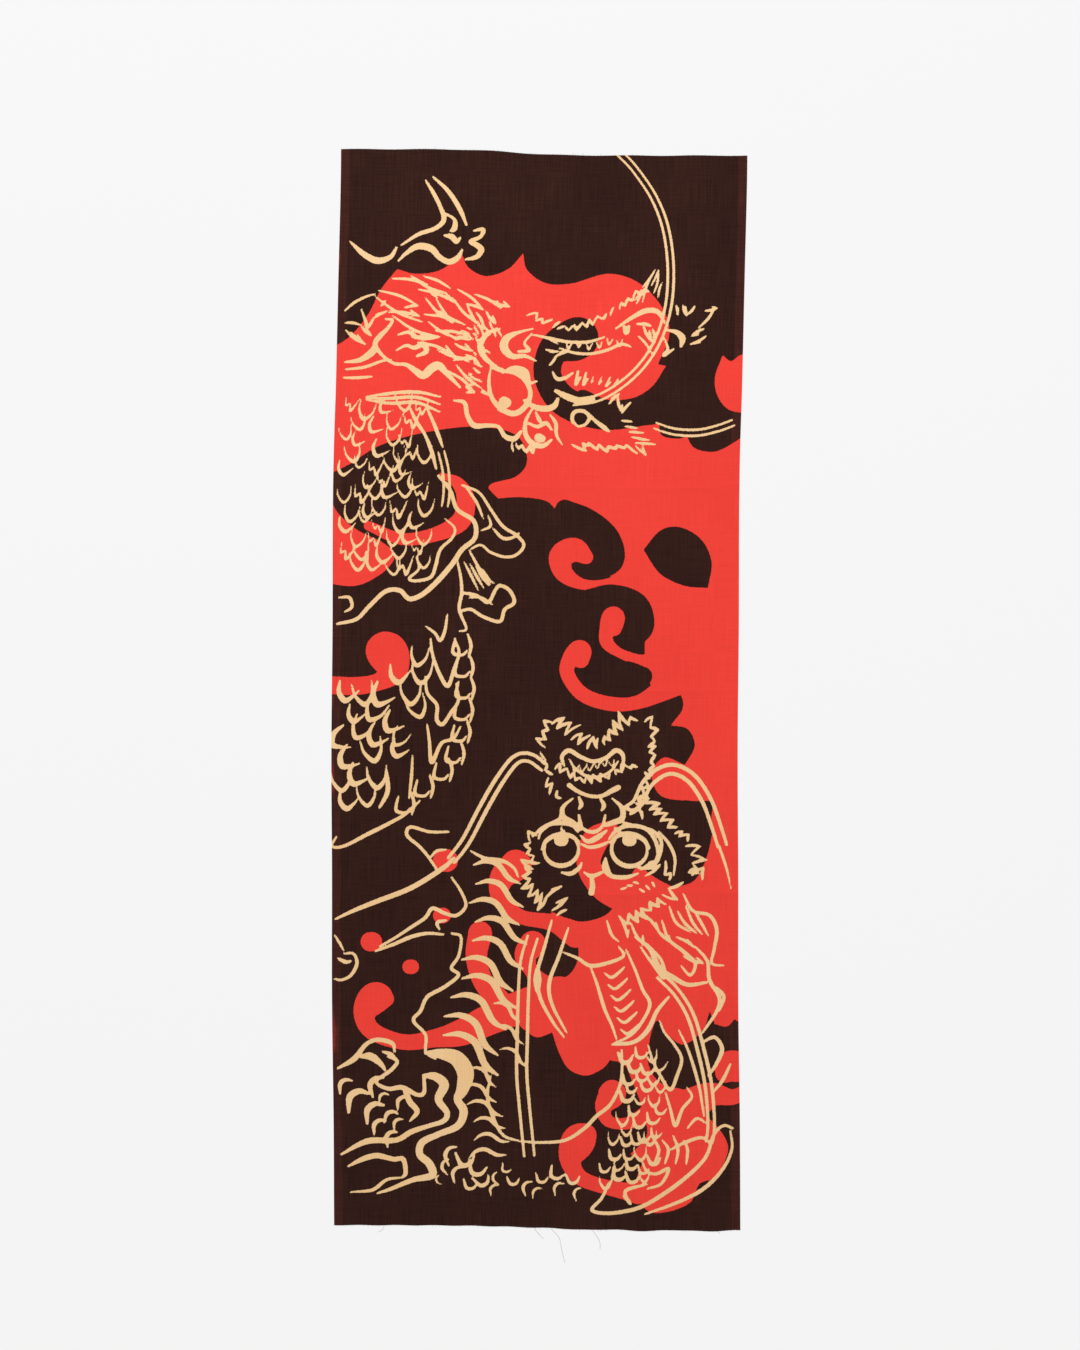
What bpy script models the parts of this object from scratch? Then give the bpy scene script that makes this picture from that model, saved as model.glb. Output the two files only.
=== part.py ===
"""A dyed cotton hand cloth, lying flat: a cloth woven in one piece, with raw cut ends.

The cloth folds along five pressed creases that run across it. Each crease lies between two
panels, so the cloth is modelled as six thin panels, hinged at the creases, and the few yarns
that have come loose from the bottom cut end.

The frame: +X across the cloth, +Y along it towards its top end, +Z up. The underside of the
cloth is at z = 0, and the origin is below its middle.
"""

import bpy
import bmesh
from mathutils import Vector

# ---- Driving dimensions, in metres ----
CLOTH_WIDTH = 0.340
CLOTH_THICKNESS = 0.0004
TOP_FLAP_LENGTH = 0.110
UPPER_PANEL_LENGTH = 0.170
UPPER_MIDDLE_LENGTH = 0.170
LOWER_MIDDLE_LENGTH = 0.170
LOWER_PANEL_LENGTH = 0.170
BOTTOM_FLAP_LENGTH = 0.110
CREASE_GAP = 0.0003
CORNER_RADIUS = 0.0012
CORNER_STEPS = 4

YARN_DIAMETER = 0.0003
YARN_EXIT_GAP = 0.0003
YARN_POINT_SPACING = 2.5 * YARN_DIAMETER
YARN_BEVEL_RESOLUTION = 2

# The panels from the top end to the bottom end, each with its length along the cloth. The
# creases between them fold face in: each hinge line lies above its crease, by half of what the
# layers folded inside it take up.
PANELS = (
    ("top_flap", TOP_FLAP_LENGTH),
    ("upper_panel", UPPER_PANEL_LENGTH),
    ("upper_middle_panel", UPPER_MIDDLE_LENGTH),
    ("lower_middle_panel", LOWER_MIDDLE_LENGTH),
    ("lower_panel", LOWER_PANEL_LENGTH),
    ("bottom_flap", BOTTOM_FLAP_LENGTH),
)
CLOTH_LENGTH = sum(length for _, length in PANELS)

# Where each loose yarn leaves the bottom end, as a distance along X from the middle, and the
# route it lies in from there, as steps (x, y) from its exit. Y is negative, away from the cloth.
LOOSE_YARNS = (
    (
        "loose_yarn_long",
        0.0113,
        ((0.0000, 0.0000), (0.0044, -0.0043), (0.0074, -0.0090), (0.0083, -0.0142),
         (0.0097, -0.0208), (0.0116, -0.0285)),
    ),
    (
        "loose_yarn_middle",
        0.0452,
        ((0.0000, 0.0000), (0.0026, -0.0036), (0.0049, -0.0072), (0.0070, -0.0113),
         (0.0072, -0.0170)),
    ),
    (
        "loose_yarn_beside_long",
        -0.0022,
        ((0.0000, 0.0000), (0.0021, -0.0030), (0.0048, -0.0060), (0.0072, -0.0084)),
    ),
    (
        "loose_yarn_left",
        -0.1292,
        ((0.0000, 0.0000), (-0.0018, -0.0016), (-0.0042, -0.0027)),
    ),
    (
        "loose_yarn_right",
        0.1493,
        ((0.0000, 0.0000), (0.0016, -0.0024), (0.0035, -0.0041)),
    ),
)


def make_material(name, colour, roughness):
    """A matt cloth finish: one colour, no metal."""
    material = bpy.data.materials.new(name)
    material.use_nodes = True
    shader = material.node_tree.nodes["Principled BSDF"]
    shader.inputs["Base Color"].default_value = (*colour, 1.0)
    shader.inputs["Roughness"].default_value = roughness
    shader.inputs["Metallic"].default_value = 0.0
    return material


def clear_scene():
    for item in list(bpy.data.objects):
        bpy.data.objects.remove(item, do_unlink=True)


def make_panel(name, top_y, bottom_y, rounded_end, material):
    """A thin flat panel of cloth between two lines across the cloth.

    rounded_end is +1 where the panel's top end is a cut end of the cloth, -1 where its bottom
    end is, and 0 between creases. A cut end's two corners have lost their points.
    """
    mesh = bpy.data.meshes.new(name)
    shape = bmesh.new()
    half = CLOTH_WIDTH / 2
    bottom = [shape.verts.new((x, bottom_y, 0.0)) for x in (-half, half)]
    top = [shape.verts.new((x, top_y, 0.0)) for x in (half, -half)]
    face = shape.faces.new(bottom + top)
    if rounded_end:
        bmesh.ops.bevel(
            shape,
            geom=top if rounded_end > 0 else bottom,
            offset=CORNER_RADIUS,
            segments=CORNER_STEPS,
            affect="VERTICES",
        )
        shape.faces.ensure_lookup_table()
        face = shape.faces[0]
    raised = bmesh.ops.extrude_face_region(shape, geom=[face])
    lifted = [v for v in raised["geom"] if isinstance(v, bmesh.types.BMVert)]
    bmesh.ops.translate(shape, verts=lifted, vec=(0.0, 0.0, CLOTH_THICKNESS))
    bmesh.ops.recalc_face_normals(shape, faces=shape.faces)
    shape.to_mesh(mesh)
    shape.free()
    panel = bpy.data.objects.new(name, mesh)
    panel.data.materials.append(material)
    bpy.context.scene.collection.objects.link(panel)
    return panel


def smooth_route(points, spacing):
    """Points about a spacing apart on a smooth curve (Catmull-Rom) through the given points."""
    ends = [points[0] * 2 - points[1], *points, points[-1] * 2 - points[-2]]
    route = []
    for before, start, end, after in zip(ends, ends[1:], ends[2:], ends[3:]):
        steps = max(2, round((end - start).length / spacing))
        for step in range(steps):
            t = step / steps
            route.append(
                0.5
                * (
                    2 * start
                    + (end - before) * t
                    + (2 * before - 5 * start + 4 * end - after) * t**2
                    + (3 * start - before - 3 * end + after) * t**3
                )
            )
    return [*route, points[-1]]


def make_yarn(name, exit_x, steps, material):
    """A thin tube along a loose yarn, which leaves the cut end level with the cloth's middle."""
    exit_point = Vector(
        (exit_x, -CLOTH_LENGTH / 2 - YARN_EXIT_GAP, CLOTH_THICKNESS / 2)
    )
    route = smooth_route(
        [exit_point + Vector((x, y, 0.0)) for x, y in steps], YARN_POINT_SPACING
    )
    curve = bpy.data.curves.new(name, "CURVE")
    curve.dimensions = "3D"
    curve.bevel_depth = YARN_DIAMETER / 2
    curve.bevel_resolution = YARN_BEVEL_RESOLUTION
    curve.use_fill_caps = True
    spline = curve.splines.new("POLY")
    spline.points.add(len(route) - 1)
    for point, place in zip(spline.points, route):
        point.co = (*place, 1.0)
    yarn = bpy.data.objects.new(name, curve)
    yarn.data.materials.append(material)
    bpy.context.scene.collection.objects.link(yarn)
    return yarn


def main():
    clear_scene()
    top_y = CLOTH_LENGTH / 2
    for number, (name, length) in enumerate(PANELS):
        bottom_y = top_y - length
        first, last = number == 0, number == len(PANELS) - 1
        make_panel(
            name,
            top_y if first else top_y - CREASE_GAP / 2,
            bottom_y if last else bottom_y + CREASE_GAP / 2,
            1 if first else -1 if last else 0,
            make_material(f"{name}_cotton", (0.032, 0.013, 0.011), 0.92),
        )
        top_y = bottom_y
    for name, exit_x, steps in LOOSE_YARNS:
        make_yarn(
            name, exit_x, steps, make_material(f"{name}_cotton", (0.62, 0.50, 0.36), 0.9)
        )


main()
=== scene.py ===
# %% [markdown]
# # A printed cotton hand cloth, laid out flat
#
# The real object is one length of plain weave cotton, 34 cm wide and 90 cm long. Its long
# sides are selvedges, the edges that the loom closes, and its two ends are raw cuts with no
# hem. It was sold folded, so five pressed creases run across it. Dragons, scales and curling
# flames are dyed into it in red and cream on a black-brown ground.
#
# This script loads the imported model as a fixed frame, draws the print, lays the cloth out as
# one smooth surface, and adds the yarn ends and loose yarns of the cut ends.

import bpy
import numpy as np
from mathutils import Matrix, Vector


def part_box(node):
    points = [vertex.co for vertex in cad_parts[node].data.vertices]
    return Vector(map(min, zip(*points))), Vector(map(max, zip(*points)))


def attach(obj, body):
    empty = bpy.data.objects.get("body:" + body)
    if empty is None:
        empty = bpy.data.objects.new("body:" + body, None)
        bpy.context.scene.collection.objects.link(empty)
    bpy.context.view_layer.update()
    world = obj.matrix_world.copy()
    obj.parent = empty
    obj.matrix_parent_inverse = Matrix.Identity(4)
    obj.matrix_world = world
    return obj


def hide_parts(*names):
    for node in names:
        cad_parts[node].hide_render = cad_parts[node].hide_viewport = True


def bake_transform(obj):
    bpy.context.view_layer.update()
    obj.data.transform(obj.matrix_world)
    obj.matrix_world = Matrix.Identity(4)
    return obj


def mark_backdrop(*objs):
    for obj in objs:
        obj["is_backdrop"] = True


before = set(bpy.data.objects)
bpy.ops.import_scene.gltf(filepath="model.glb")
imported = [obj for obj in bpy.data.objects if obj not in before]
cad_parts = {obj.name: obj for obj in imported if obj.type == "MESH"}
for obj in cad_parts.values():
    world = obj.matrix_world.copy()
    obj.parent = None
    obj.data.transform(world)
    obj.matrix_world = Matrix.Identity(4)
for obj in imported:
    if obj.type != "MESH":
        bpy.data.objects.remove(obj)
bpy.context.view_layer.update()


# %% [markdown]
# ## The flat cloth as a grid
#
# A cloth is flat before it is anything else, so every point of it has a flat place: how far
# across it lies and how far along. The print, the selvedges and the creases all belong to that
# flat place, and only afterwards is the cloth laid out in space. The grid is a little closer
# near the creases, where the cloth has to bend.

# %% Sizes, from the frame
MM = 0.001
PANELS = (
    "top_flap",
    "upper_panel",
    "upper_middle_panel",
    "lower_middle_panel",
    "lower_panel",
    "bottom_flap",
)
panel_boxes = {name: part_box(name) for name in PANELS}
HALF_WIDTH = panel_boxes["top_flap"][1].x / MM
HALF_LENGTH = panel_boxes["top_flap"][1].y / MM
THICKNESS = panel_boxes["top_flap"][1].z / MM
crease_at = [
    (panel_boxes[upper][0].y + panel_boxes[lower][1].y) / 2 / MM
    for upper, lower in zip(PANELS, PANELS[1:])
]
print(f"cloth {2 * HALF_WIDTH:.0f} x {2 * HALF_LENGTH:.0f} x {THICKNESS:.1f} mm")
print("creases at", [round(y) for y in crease_at])


# %% Grid lines across and along the cloth
COLUMN_STEP = 1.25
ROW_STEP = 1.25
CREASE_ROW_STEP = 0.7
CREASE_REACH = 6.0


def grid_rows():
    """Row places from the bottom end to the top end: even steps, and closer ones at a crease."""
    stops = {-HALF_LENGTH, HALF_LENGTH}
    for y in crease_at:
        stops |= {y - CREASE_REACH, y + CREASE_REACH}
    stops = sorted(stops)
    rows = []
    for low, high in zip(stops, stops[1:]):
        near_crease = any(low < y < high for y in crease_at) and high - low < 3 * CREASE_REACH
        step = CREASE_ROW_STEP if near_crease else ROW_STEP
        rows.append(np.linspace(low, high, round((high - low) / step) + 1)[:-1])
    return np.r_[np.concatenate(rows), HALF_LENGTH]


xs = np.linspace(-HALF_WIDTH, HALF_WIDTH, round(2 * HALF_WIDTH / COLUMN_STEP) + 1)
ys = grid_rows()
GX, GY = np.meshgrid(xs, ys)
print(f"grid of {len(xs)} columns and {len(ys)} rows")


# %% [markdown]
# ## Drawing with distances
#
# The print has hard edges: cream lines that swell and thin out like brush strokes, over flat
# red shapes on a dark ground. An image could hold it, but an image blurs up close. Here each
# colour is a distance on the grid instead: how far a place is from the nearest edge of the ink
# in mm, and below zero inside it. Shapes are added by keeping the smaller distance, and one
# shape cuts another by keeping the larger. All places are flat ones, in mm from the middle.

# %% Smooth lines, and the distance to them
FAR = 50.0
BLOB_REACH = 8.0


def smooth_line(points, step=1.5):
    """A smooth line through the points (Catmull-Rom), with a point about every step."""
    p = np.asarray(points, float)
    run = np.vstack([2 * p[0] - p[1], p, 2 * p[-1] - p[-2]])
    out = []
    for a, b, c, d in zip(run, run[1:], run[2:], run[3:]):
        n = max(2, int(np.ceil(np.hypot(*(c - b)[:2]) / step)))
        t = np.arange(n)[:, None] / n
        out.append(0.5 * (2 * b + (c - a) * t + (2 * a - 5 * b + 4 * c - d) * t**2
                          + (3 * b - a - 3 * c + d) * t**3))
    out.append(p[-1:])
    return np.vstack(out)


def chunk(low, high):
    """The block of the grid between two corners, or None where they miss the cloth."""
    cols = np.flatnonzero((xs >= low[0]) & (xs <= high[0]))
    rows = np.flatnonzero((ys >= low[1]) & (ys <= high[1]))
    if not len(cols) or not len(rows):
        return None
    return slice(rows[0], rows[-1] + 1), slice(cols[0], cols[-1] + 1)


def to_segment(px, py, a, b):
    """Each place's distance to the segment from a to b, and how far along it the foot lies."""
    dx, dy = b[0] - a[0], b[1] - a[1]
    t = np.clip(((px - a[0]) * dx + (py - a[1]) * dy) / max(dx * dx + dy * dy, 1e-9), 0, 1)
    return np.hypot(px - a[0] - t * dx, py - a[1] - t * dy), t


def line_field(field, line, half, reach=4.0):
    """Lowers the field to each point's distance from the line, less its half width there."""
    low = line.min(0) - half.max() - reach
    high = line.max(0) + half.max() + reach
    part = chunk(low, high)
    if part is None:
        return
    px, py = GX[part], GY[part]
    best = field[part].copy()
    for a, b, ra, rb in zip(line, line[1:], half, half[1:]):
        away, t = to_segment(px, py, a, b)
        np.minimum(best, away - (ra + (rb - ra) * t), out=best)
    field[part] = best


# %% Closed shapes, and a layer that they add to and cut


def blob_field(outline):
    """The signed distance to a closed outline: below zero inside it."""
    d = np.full(GX.shape, FAR)
    low, high = outline.min(0) - BLOB_REACH, outline.max(0) + BLOB_REACH
    part = chunk(low, high)
    px, py = GX[part], GY[part]
    best = np.full(px.shape, FAR)
    inside = np.zeros(px.shape, bool)
    for a, b in zip(outline, np.roll(outline, -1, axis=0)):
        np.minimum(best, to_segment(px, py, a, b)[0], out=best)
        if a[1] != b[1]:
            crosses = (a[1] > py) != (b[1] > py)
            inside ^= crosses & (px < a[0] + (py - a[1]) * (b[0] - a[0]) / (b[1] - a[1]))
    d[part] = np.where(inside, -best, best)
    return d


class Layer:
    """One colour of the print: the distance to its edge, from the shapes put in and cut out."""

    def __init__(self):
        self.f = np.full(GX.shape, FAR)

    def outline(self, *arcs):
        """A closed outline from smooth arcs. Each starts where the last one ends, at a corner."""
        return np.vstack([smooth_line(arc)[:-1] if len(arc) > 2 else np.array(arc)[:-1] for arc in arcs])

    def put(self, *arcs):
        """Adds a closed shape."""
        self.f = np.minimum(self.f, blob_field(self.outline(*arcs)))

    def cut(self, *arcs):
        """Cuts a closed shape out."""
        self.f = np.maximum(self.f, -blob_field(self.outline(*arcs)))

    def band(self, rows, cut=False):
        """A band of varying width: rows of (x, y, width)."""
        run = smooth_line(rows, step=2.0)
        line, half = run[:, :2], run[:, 2] / 2
        d = np.full(GX.shape, FAR)
        line_field(d, line, half, reach=10.0)
        self.f = np.maximum(self.f, -d) if cut else np.minimum(self.f, d)


# %% One brush line


def brush(field, points, width=3.2, thin=0.42):
    """A brush line: full width along its middle, drawn out thin towards both tips."""
    line = smooth_line(points)
    along = np.r_[0, np.cumsum(np.hypot(*np.diff(line, axis=0).T))]
    t = along / max(along[-1], 1e-9)
    body = np.clip(np.minimum(t, 1 - t) * 2, 0, 1) ** 0.5
    half = width / 2 * (thin + (1 - thin) * body)
    line_field(field, line, half)


# %% [markdown]
# ## The red shapes
#
# The red lies under the cream lines: one large cloud with cusps along its edge, dark curls
# cut into it, and loose curls and drops below. A closed shape is a few arcs that meet at its
# corners. A curl is easier as a band: a middle line that has a width at each of its points.

# %% Clouds, curls and drops


def red_ground():
    """All the red of the print, as one layer."""
    r = Layer()
    r.put(
        [(-176, 286), (-160, 296), (-145, 314), (-134, 336), (-121, 353)],
        [(-121, 353), (-106, 349), (-88, 351), (-76, 358), (-68, 367)],
        [(-68, 367), (-61, 354), (-46, 347), (-28, 353), (-16, 366)],
        [(-16, 366), (-12, 352), (4, 341), (26, 341), (56, 349), (82, 341), (102, 320), (108, 298),
         (99, 273)],
        [(99, 273), (106, 272)],
        [(106, 272), (94, 254), (76, 244), (56, 244), (36, 252), (28, 240), (50, 222), (76, 222),
         (101, 228)],
        [(101, 228), (104, 214), (118, 211), (125, 213)],
        [(125, 213), (132, 203), (148, 200), (162, 206), (176, 216)],
        [(176, 216), (177, 0), (176, -280)],
        [(176, -280), (165, -272), (152, -240), (152, -180), (154, -140), (148, -110), (150, -92)],
        [(150, -92), (130, -92), (106, -88), (98, -70), (108, -56), (126, -62)],
        [(126, -62), (134, -46), (128, -32), (114, -29)],
        [(114, -29), (124, -14), (120, 0), (112, 1)],
        [(112, 1), (98, 3), (92, 22), (91, 48), (85, 70), (66, 86), (60, 108), (52, 132), (40, 150)],
        [(40, 150), (20, 144)],
        [(20, 144), (10, 158), (-12, 162), (-32, 161)],
        [(-32, 161), (-40, 170), (-36, 174)],
        [(-36, 174), (-16, 180), (-8, 194), (-18, 214), (-50, 221), (-90, 217), (-130, 206),
         (-156, 190), (-176, 180)],
    )
    r.band([(128, 262, 48), (118, 244, 34), (86, 234, 25), (54, 231, 25), (22, 242, 25),
            (7, 264, 23), (12, 286, 26), (29, 294, 36), (31, 295, 34)], cut=True)
    r.put(
        [(176, 283), (168, 281), (160, 276), (153, 281)],
        [(153, 281), (147, 262), (150, 246), (160, 235), (176, 232)],
    )
    r.cut(
        [(90, 118), (104, 134), (120, 137), (138, 127), (147, 108), (144, 86)],
        [(144, 86), (124, 88), (104, 98), (90, 118)],
    )
    r.band([(24, 152, 16), (44, 143, 18), (60, 128, 20), (64, 110, 20), (54, 101, 12),
            (42, 104, 3)], cut=True)
    r.band([(42, 112, 12), (32, 118, 20), (21, 112, 20), (24, 98, 15), (40, 89, 9), (62, 90, 9),
            (88, 96, 24)])
    r.band([(44, 80, 10), (64, 82, 14), (84, 72, 20), (90, 54, 18), (82, 43, 11), (69, 44, 3)], cut=True)
    r.band([(66, 52, 12), (65, 61, 19), (60, 52, 13), (60, 40, 11), (74, 30, 8), (98, 24, 16),
            (116, 40, 40)])
    r.band([(38, 20, 4), (52, 14, 14), (74, 13, 24), (90, 12, 16)], cut=True)
    r.band([(38, 26, 14), (37, 33, 19), (29, 26, 14), (27, 14, 12), (40, -3, 12), (64, -11, 12),
            (88, -9, 12), (116, 6, 22)])
    # the crescent under the dark oval on the left, and the curl below it
    r.band([(-80, 181, 3), (-66, 174, 10), (-59, 160, 15), (-63, 142, 16), (-84, 131, 12),
            (-112, 127, 10), (-140, 138, 8)])
    r.put(
        [(-176, 176), (-168, 152), (-150, 135), (-128, 124), (-118, 113), (-128, 99), (-150, 88),
         (-176, 90)],
    )
    r.band([(-132, 34, 20), (-124, 32, 34), (-119, 18, 24), (-130, 8, 15), (-150, 4, 15), (-176, 5, 15)])
    # drops, and the curls of the lower cloud
    for x, y, wide in ((-75, -142, 19), (-78, -188, 13), (-137, -210, 16), (-104, -231, 12)):
        r.band([(x - 1, y, wide), (x + 1, y, wide)])
    r.band([(-124, -258, 12), (-134, -257, 26), (-143, -270, 18), (-136, -285, 15), (-110, -294, 13),
            (-85, -291, 15), (-62, -286, 22), (-36, -274, 26), (-10, -264, 28), (20, -256, 34)])
    r.band([(-46, -203, 20), (-49, -222, 18), (-44, -242, 17), (-30, -260, 20)])
    r.band([(-2, -212, 22), (-8, -222, 18), (-2, -236, 12), (10, -252, 24)])
    r.band([(-16, -146, 26), (-28, -157, 20), (-29, -174, 14), (-12, -189, 12), (14, -194, 14),
            (34, -204, 22)])
    r.band([(62, -117, 16), (50, -126, 22), (45, -146, 20), (58, -164, 24), (82, -172, 34)])
    r.put(
        [(12, -184), (28, -191), (42, -193), (60, -187), (72, -172)],
        [(72, -172), (80, -155), (86, -145)],
        [(86, -145), (100, -156), (117, -165)],
        [(117, -165), (134, -158), (144, -138), (150, -112)],
        [(150, -112), (163, -110), (176, -112)],
        [(176, -112), (177, -180), (176, -236)],
        [(176, -236), (168, -242), (172, -262), (162, -280), (150, -279)],
        [(150, -279), (146, -268)],
        [(146, -268), (140, -284), (124, -296), (110, -288)],
        [(110, -288), (102, -276), (96, -290), (94, -312), (104, -328), (124, -334)],
        [(124, -334), (136, -350), (152, -366), (160, -384), (150, -408)],
        [(150, -408), (136, -412), (128, -427), (108, -435), (92, -433), (80, -416)],
        [(80, -416), (88, -395)],
        [(88, -395), (78, -388)],
        [(78, -388), (92, -372), (88, -348), (80, -326), (74, -313), (62, -309)],
        [(62, -309), (56, -316), (42, -322), (28, -317), (20, -304), (14, -286)],
        [(14, -286), (2, -290), (-6, -286), (-14, -276), (-4, -250), (14, -242)],
        [(14, -242), (28, -238), (36, -224), (34, -206), (22, -196), (12, -184)],
    )
    r.band([(58, -336, 12), (64, -337, 22), (56, -348, 14), (60, -360, 10), (76, -362, 10),
            (94, -354, 16)])
    r.band([(40, -372, 20), (34, -378, 28), (28, -392, 18), (36, -407, 13), (58, -415, 12),
            (84, -420, 16)])
    r.band([(178, -318, 20), (164, -314, 26), (158, -320, 16)])
    r.band([(178, -334, 12), (164, -340, 13), (146, -338, 20), (128, -348, 30)])
    return r


red_ink = red_ground().f
print(f"red on {np.mean(red_ink < 0):.0%} of the cloth")


# %% [markdown]
# ## Brush work
#
# The cream lines are drawn with few tools: a line whose width is given at its points, tufts of
# fur along a line, locks of hair, and small marks for scales and spray. Fur and scales repeat
# in nature with no two alike, so they come from loops with a seeded random number generator,
# which gives the same drawing on every run.

# %% A line with its own widths, and shapes that turn
def inked(field, rows):
    """A brush line whose width is given at each of its points: rows of (x, y, width)."""
    run = smooth_line(rows)
    line_field(field, run[:, :2], run[:, 2] / 2)


def turned(points, x, y, size=1.0, lean=0.0):
    """The points, made size times as large, leant by an angle in degrees and moved to (x, y).

    A third number of each point, its width, grows with the size and isn't turned.
    """
    p = np.array(points, float) * size
    a = np.radians(lean)
    p[:, :2] = p[:, :2] @ np.array([[np.cos(a), np.sin(a)], [-np.sin(a), np.cos(a)]]) + (x, y)
    return p


# %% Fur and hair


def fur(field, line, tall, pitch, width, lean=0.0, seed=1):
    """Tufts of fur along a line: bowed strokes out to a tip and back, no two alike.

    The tufts stand on the left of the way the line runs, or on its right where tall is below
    zero, and they lean forward by a share of their height.
    """
    chance = np.random.default_rng(seed)
    run = smooth_line(line)
    along = np.r_[0, np.cumsum(np.hypot(*np.diff(run, axis=0).T))]
    count = max(2, round(along[-1] / pitch))
    at = np.linspace(0, along[-1], count + 1)
    at[1:-1] += chance.uniform(-0.28, 0.28, count - 1) * pitch
    base = np.c_[np.interp(at, along, run[:, 0]), np.interp(at, along, run[:, 1])]
    way = np.diff(base, axis=0)
    way /= np.hypot(*way.T)[:, None]
    out = np.c_[-way[:, 1], way[:, 0]]
    height = tall * chance.uniform(0.55, 1.45, count)[:, None]
    tip = (base[1:] + base[:-1]) / 2 + out * height + way * lean * np.abs(height)
    thick = width * chance.uniform(0.8, 1.2, (count, 2))
    whole = chance.random(count) < 0.86
    for a, b, c, w, t, both in zip(base, tip, base[1:], way, thick, whole):
        brush(field, [a, (a + b) / 2 - 0.10 * abs(tall) * w, b], t[0], 0.5)
        if both:
            brush(field, [b, (b + c) / 2 - 0.06 * abs(tall) * w, c], t[1], 0.5)


def locks(field, rows, width):
    """Locks of hair: a long bowed stroke, and part of the way back beside it.

    Rows of (x, y, length, direction in degrees, share of the way back).
    """
    for k, (x, y, long, way, back) in enumerate(rows):
        bow = 0.06 * (-1) ** k
        brush(field, turned([(0, 0), (0.5, bow), (1, 0)], x, y, long, way), width, 0.4)
        if back:
            side = -0.16 if back < 0 else 0.16
            home = 1 - abs(back)
            brush(field, turned([(1, 0), ((1 + home) / 2, side * 0.4), (home, side)], x, y, long, way),
                  width * 0.9, 0.5)


# %% Two lines side by side


def offset(line, gap):
    """The lines half a gap to the left and to the right of a line."""
    run = smooth_line(line)
    d = np.gradient(run, axis=0)
    n = np.c_[-d[:, 1], d[:, 0]] / np.hypot(*d.T)[:, None]
    return run + n * gap / 2, run - n * gap / 2


def pair(field, line, gap, width):
    """Two lines side by side."""
    for side in offset(line, gap):
        brush(field, side[::4], width, thin=0.7)


# %% Small marks: rows of (x, y, width) about the middle of a mark of size 1
CUP = [(-0.42, 0.52, 0.08), (-0.38, 0.0, 0.16), (-0.06, -0.44, 0.25), (0.32, -0.08, 0.16),
       (0.44, 0.5, 0.07)]
TOOTH = [(-0.5, 0.42, 0.07), (-0.3, -0.2, 0.15), (-0.1, 0.02, 0.12), (0.1, -0.45, 0.21),
         (0.28, 0.0, 0.14), (0.42, 0.56, 0.07)]
COMMA = [(-0.28, 0.52, 0.09), (-0.42, 0.0, 0.22), (-0.22, -0.42, 0.26), (0.16, -0.3, 0.15),
         (0.5, -0.08, 0.06)]
TICK = [(-0.45, 0.4, 0.16), (-0.25, -0.25, 0.3), (0.2, -0.28, 0.26), (0.5, 0.1, 0.12)]
SPRAY = [(-0.42, -0.5, 0.12), (-0.3, 0.12, 0.28), (0.1, 0.34, 0.24), (0.5, 0.2, 0.12)]


def lighter(shape, share):
    """The same mark drawn with a share of its line width."""
    return [(x, y, wide * share) for x, y, wide in shape]


def marks(field, shapes, rows):
    """Scales or ticks: rows of (x, y, size, lean), each with the next of the shapes."""
    for k, (x, y, size, lean) in enumerate(rows):
        inked(field, turned(shapes[k % len(shapes)], x, y, size, lean))


def staggered(left, right, top, gap, count, size, seed, loose=1.0, bare=0.0):
    """Rows of places for scales, every other row moved half a scale along, all a little loose.

    left and right give the two ends of a row from its height. loose widens the scatter, and
    bare is the share of places left without a scale.
    """
    chance = np.random.default_rng(seed)
    places = []
    for row in range(count):
        y = top - gap * row
        low, high = left(y), right(y)
        many = max(1, round((high - low) / (size * 0.98)))
        at = low + (high - low) * (np.arange(many) + 0.25 + 0.5 * (row % 2)) / many
        for x in at:
            dx, dy, lean = chance.normal(0, (1.3, 2.2, 9)) * loose
            scale = size * chance.uniform(0.85, 1.15)
            if chance.random() >= bare:
                places.append((x + dx, y + dy, scale, lean))
    return places


def flick(field, x, y, long, way, bow, width, thin):
    """A short straight stroke from (x, y) in a direction in degrees, turned a little by bow."""
    brush(field, turned([(0, 0), (1, bow)], x, y, long, way), width, thin)


# %% An empty layer for the cream lines
cream_ink = np.full(GX.shape, FAR)


def draw(title, part):
    """Draws one part of the print, and says how much of the cloth is cream so far."""
    part(cream_ink)
    print(f"{title}: cream lines on {np.mean(cream_ink < 0):.1%} of the cloth")


print(f"a layer of {cream_ink.size} places for the cream lines")


# %% [markdown]
# ## The upper half of the drawing
#
# A beast of the river reaches in from the left: one claw above the red cloud, then a mane of
# wet locks, a long head with an open jaw, and a scaled neck. Each part is a short list of
# lines, given for this cloth, so that its weight and its gaps sit where the print's do.


# %% A claw above the cloud


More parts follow.
